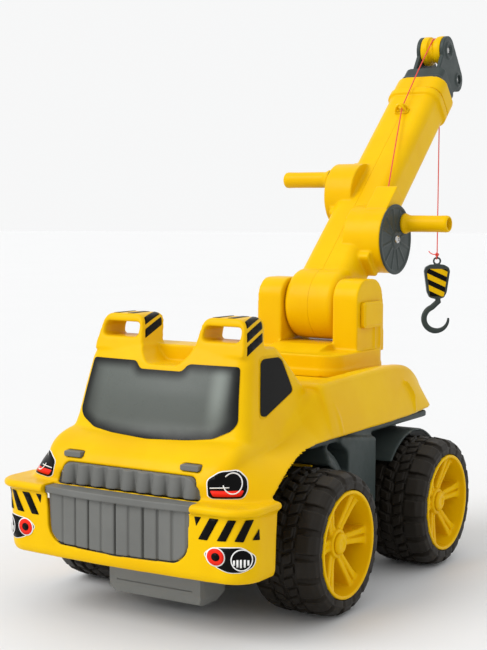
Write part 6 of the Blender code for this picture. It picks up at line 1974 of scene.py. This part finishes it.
def build_hook_stripes(bottom, half, inlay, turn):
    """Lay yellow and black slanting stripes in both faces of the hook's block."""
    inner = grown(inlay, -SEAM)
    for label, y0, y1 in (("front", -half + 0.0001, -half + 0.0008), ("rear", half - 0.0008, half - 0.0001)):
        low, high = (-half - 0.0002, y0 + 0.0001) if y0 < 0 else (y1 - 0.0001, half + 0.0002)
        plate = prism(inner, "Y", y0, y1)
        kept = []
        for k in range(4):
            z = bottom - 0.0010 + k * 0.0165
            stripe = prism([(-0.03, z + 0.0138), (0.03, z - 0.0138), (0.03, z - 0.0058), (-0.03, z + 0.0218)],
                           "Y", low, high)
            trim(stripe, prism(grown(inner, -0.0001), "Y", -0.02, 0.02))
            if len(stripe.data.polygons):
                kept.append(stripe)
            else:
                bpy.data.objects.remove(stripe, do_unlink=True)
        marks = join(*kept)
        marks.data.transform(turn)
        plate.data.transform(turn)
        finish(plate, "hook_inlay_" + label, "hook", ink("sticker_yellow", "yellow", 0.30),
               ["hook_stripes_" + label], 40)
        finish(marks, "hook_marks_" + label, "hook", ink(), (), 40)


# ================================================================== operators
class CraneTruckStep:
    """What the builders share"""

    def execute(self, context):
        """Run the part's builder."""
        self.build()
        return {"FINISHED"}


class BuildCamera(CraneTruckStep, bpy.types.Operator):
    """Place the camera and the lights"""
    bl_idname = "crane_truck.camera"
    bl_label = "Camera and lights"

    def build(self):
        """Place the camera and the lights."""
        camera_and_light()


class BuildCords(CraneTruckStep, bpy.types.Operator):
    """Build the red cord, its knot and its winding"""
    bl_idname = "crane_truck.cords"
    bl_label = "Cord"

    def build(self):
        """Build the cord."""
        build_cords()


class BuildShell(CraneTruckStep, bpy.types.Operator):
    """Build the yellow shell with its windows, stickers and grilles"""
    bl_idname = "crane_truck.shell"
    bl_label = "Shell, panels and grilles"

    def build(self):
        """Build the shell and everything laid on it."""
        shell = build_body()
        build_stickers(shell)
        build_bar_stripes(shell)
        build_grilles()


class BuildChassis(CraneTruckStep, bpy.types.Operator):
    """Build the dark frame and the front step"""
    bl_idname = "crane_truck.chassis"
    bl_label = "Chassis and step"

    def build(self):
        """Build the chassis."""
        build_chassis()
        build_step()


class BuildWheels(CraneTruckStep, bpy.types.Operator):
    """Build the tyres, rims, hub caps and axles"""
    bl_idname = "crane_truck.wheels"
    bl_label = "Wheels"

    def build(self):
        """Build the wheels."""
        build_wheels()


class BuildCraneBase(CraneTruckStep, bpy.types.Operator):
    """Build the slewing crane base and its hardware"""
    bl_idname = "crane_truck.base"
    bl_label = "Crane base"

    def build(self):
        """Build the crane base."""
        build_crane_base()


class BuildBoom(CraneTruckStep, bpy.types.Operator):
    """Build the boom, the inner boom, the head and the sheave"""
    bl_idname = "crane_truck.boom"
    bl_label = "Boom"

    def build(self):
        """Build the boom."""
        build_boom()


class BuildCranks(CraneTruckStep, bpy.types.Operator):
    """Build both cranks, the spool and the telescope drive"""
    bl_idname = "crane_truck.cranks"
    bl_label = "Cranks"

    def build(self):
        """Build the cranks."""
        build_crank(1, WINCH_U, WINCH_FACE_X, WINCH_HANDLE, (CRANK_THROW, 0), "winch", "winch",
                    "winch_handle")
        build_crank(-1, EXTEND_U, EXTEND_FACE_X, EXTEND_HANDLE, (0, CRANK_THROW), "telescope",
                    "telescope_crank", "telescope_handle")
        build_drives()


class BuildHook(CraneTruckStep, bpy.types.Operator):
    """Build the hook and its striped inlays"""
    bl_idname = "crane_truck.hook"
    bl_label = "Hook"

    def build(self):
        """Build the hook."""
        build_hook()


class BuildStage(CraneTruckStep, bpy.types.Operator):
    """Lay the studio floor"""
    bl_idname = "crane_truck.stage"
    bl_label = "Studio floor"

    def build(self):
        """Lay the floor."""
        build_floor()


class CraneTruckPanel(bpy.types.Panel):
    """Sidebar panel with the settings and the builders in order"""
    bl_idname = "VIEW3D_PT_crane_truck"
    bl_label = "Toy Crane Truck"
    bl_space_type = "VIEW_3D"
    bl_region_type = "UI"
    bl_category = "Crane Truck"

    def draw(self, context):
        """Draw every setting, then a button for each builder."""
        layout = self.layout
        for group in (context.scene.crane_colours, context.scene.crane_sizes, context.scene.crane_stage):
            column = layout.column(align=True)
            for key in group.bl_rna.properties.keys():
                if key not in ("rna_type", "name"):
                    column.prop(group, key)
        for step in STEPS:
            layout.operator(step.bl_idname)


STEPS = (BuildCamera, BuildCords, BuildShell, BuildChassis, BuildWheels, BuildCraneBase, BuildBoom,
         BuildCranks, BuildHook, BuildStage)
GROUPS = (("crane_colours", CraneTruckColours), ("crane_sizes", CraneTruckSizes),
          ("crane_stage", CraneTruckStage))


def register():
    """Register the settings, the operators and the panel."""
    for name, group in GROUPS:
        bpy.utils.register_class(group)
        setattr(bpy.types.Scene, name, bpy.props.PointerProperty(type=group))
    for step in STEPS + (CraneTruckPanel,):
        bpy.utils.register_class(step)


def unregister():
    """Remove what register() added."""
    for step in (CraneTruckPanel,) + STEPS[::-1]:
        bpy.utils.unregister_class(step)
    for name, group in GROUPS[::-1]:
        delattr(bpy.types.Scene, name)
        bpy.utils.unregister_class(group)


def main():
    """Build everything in order."""
    register()
    for step in STEPS:
        getattr(bpy.ops.crane_truck, step.bl_idname.split(".")[1])()


if __name__ == "__main__":
    main()
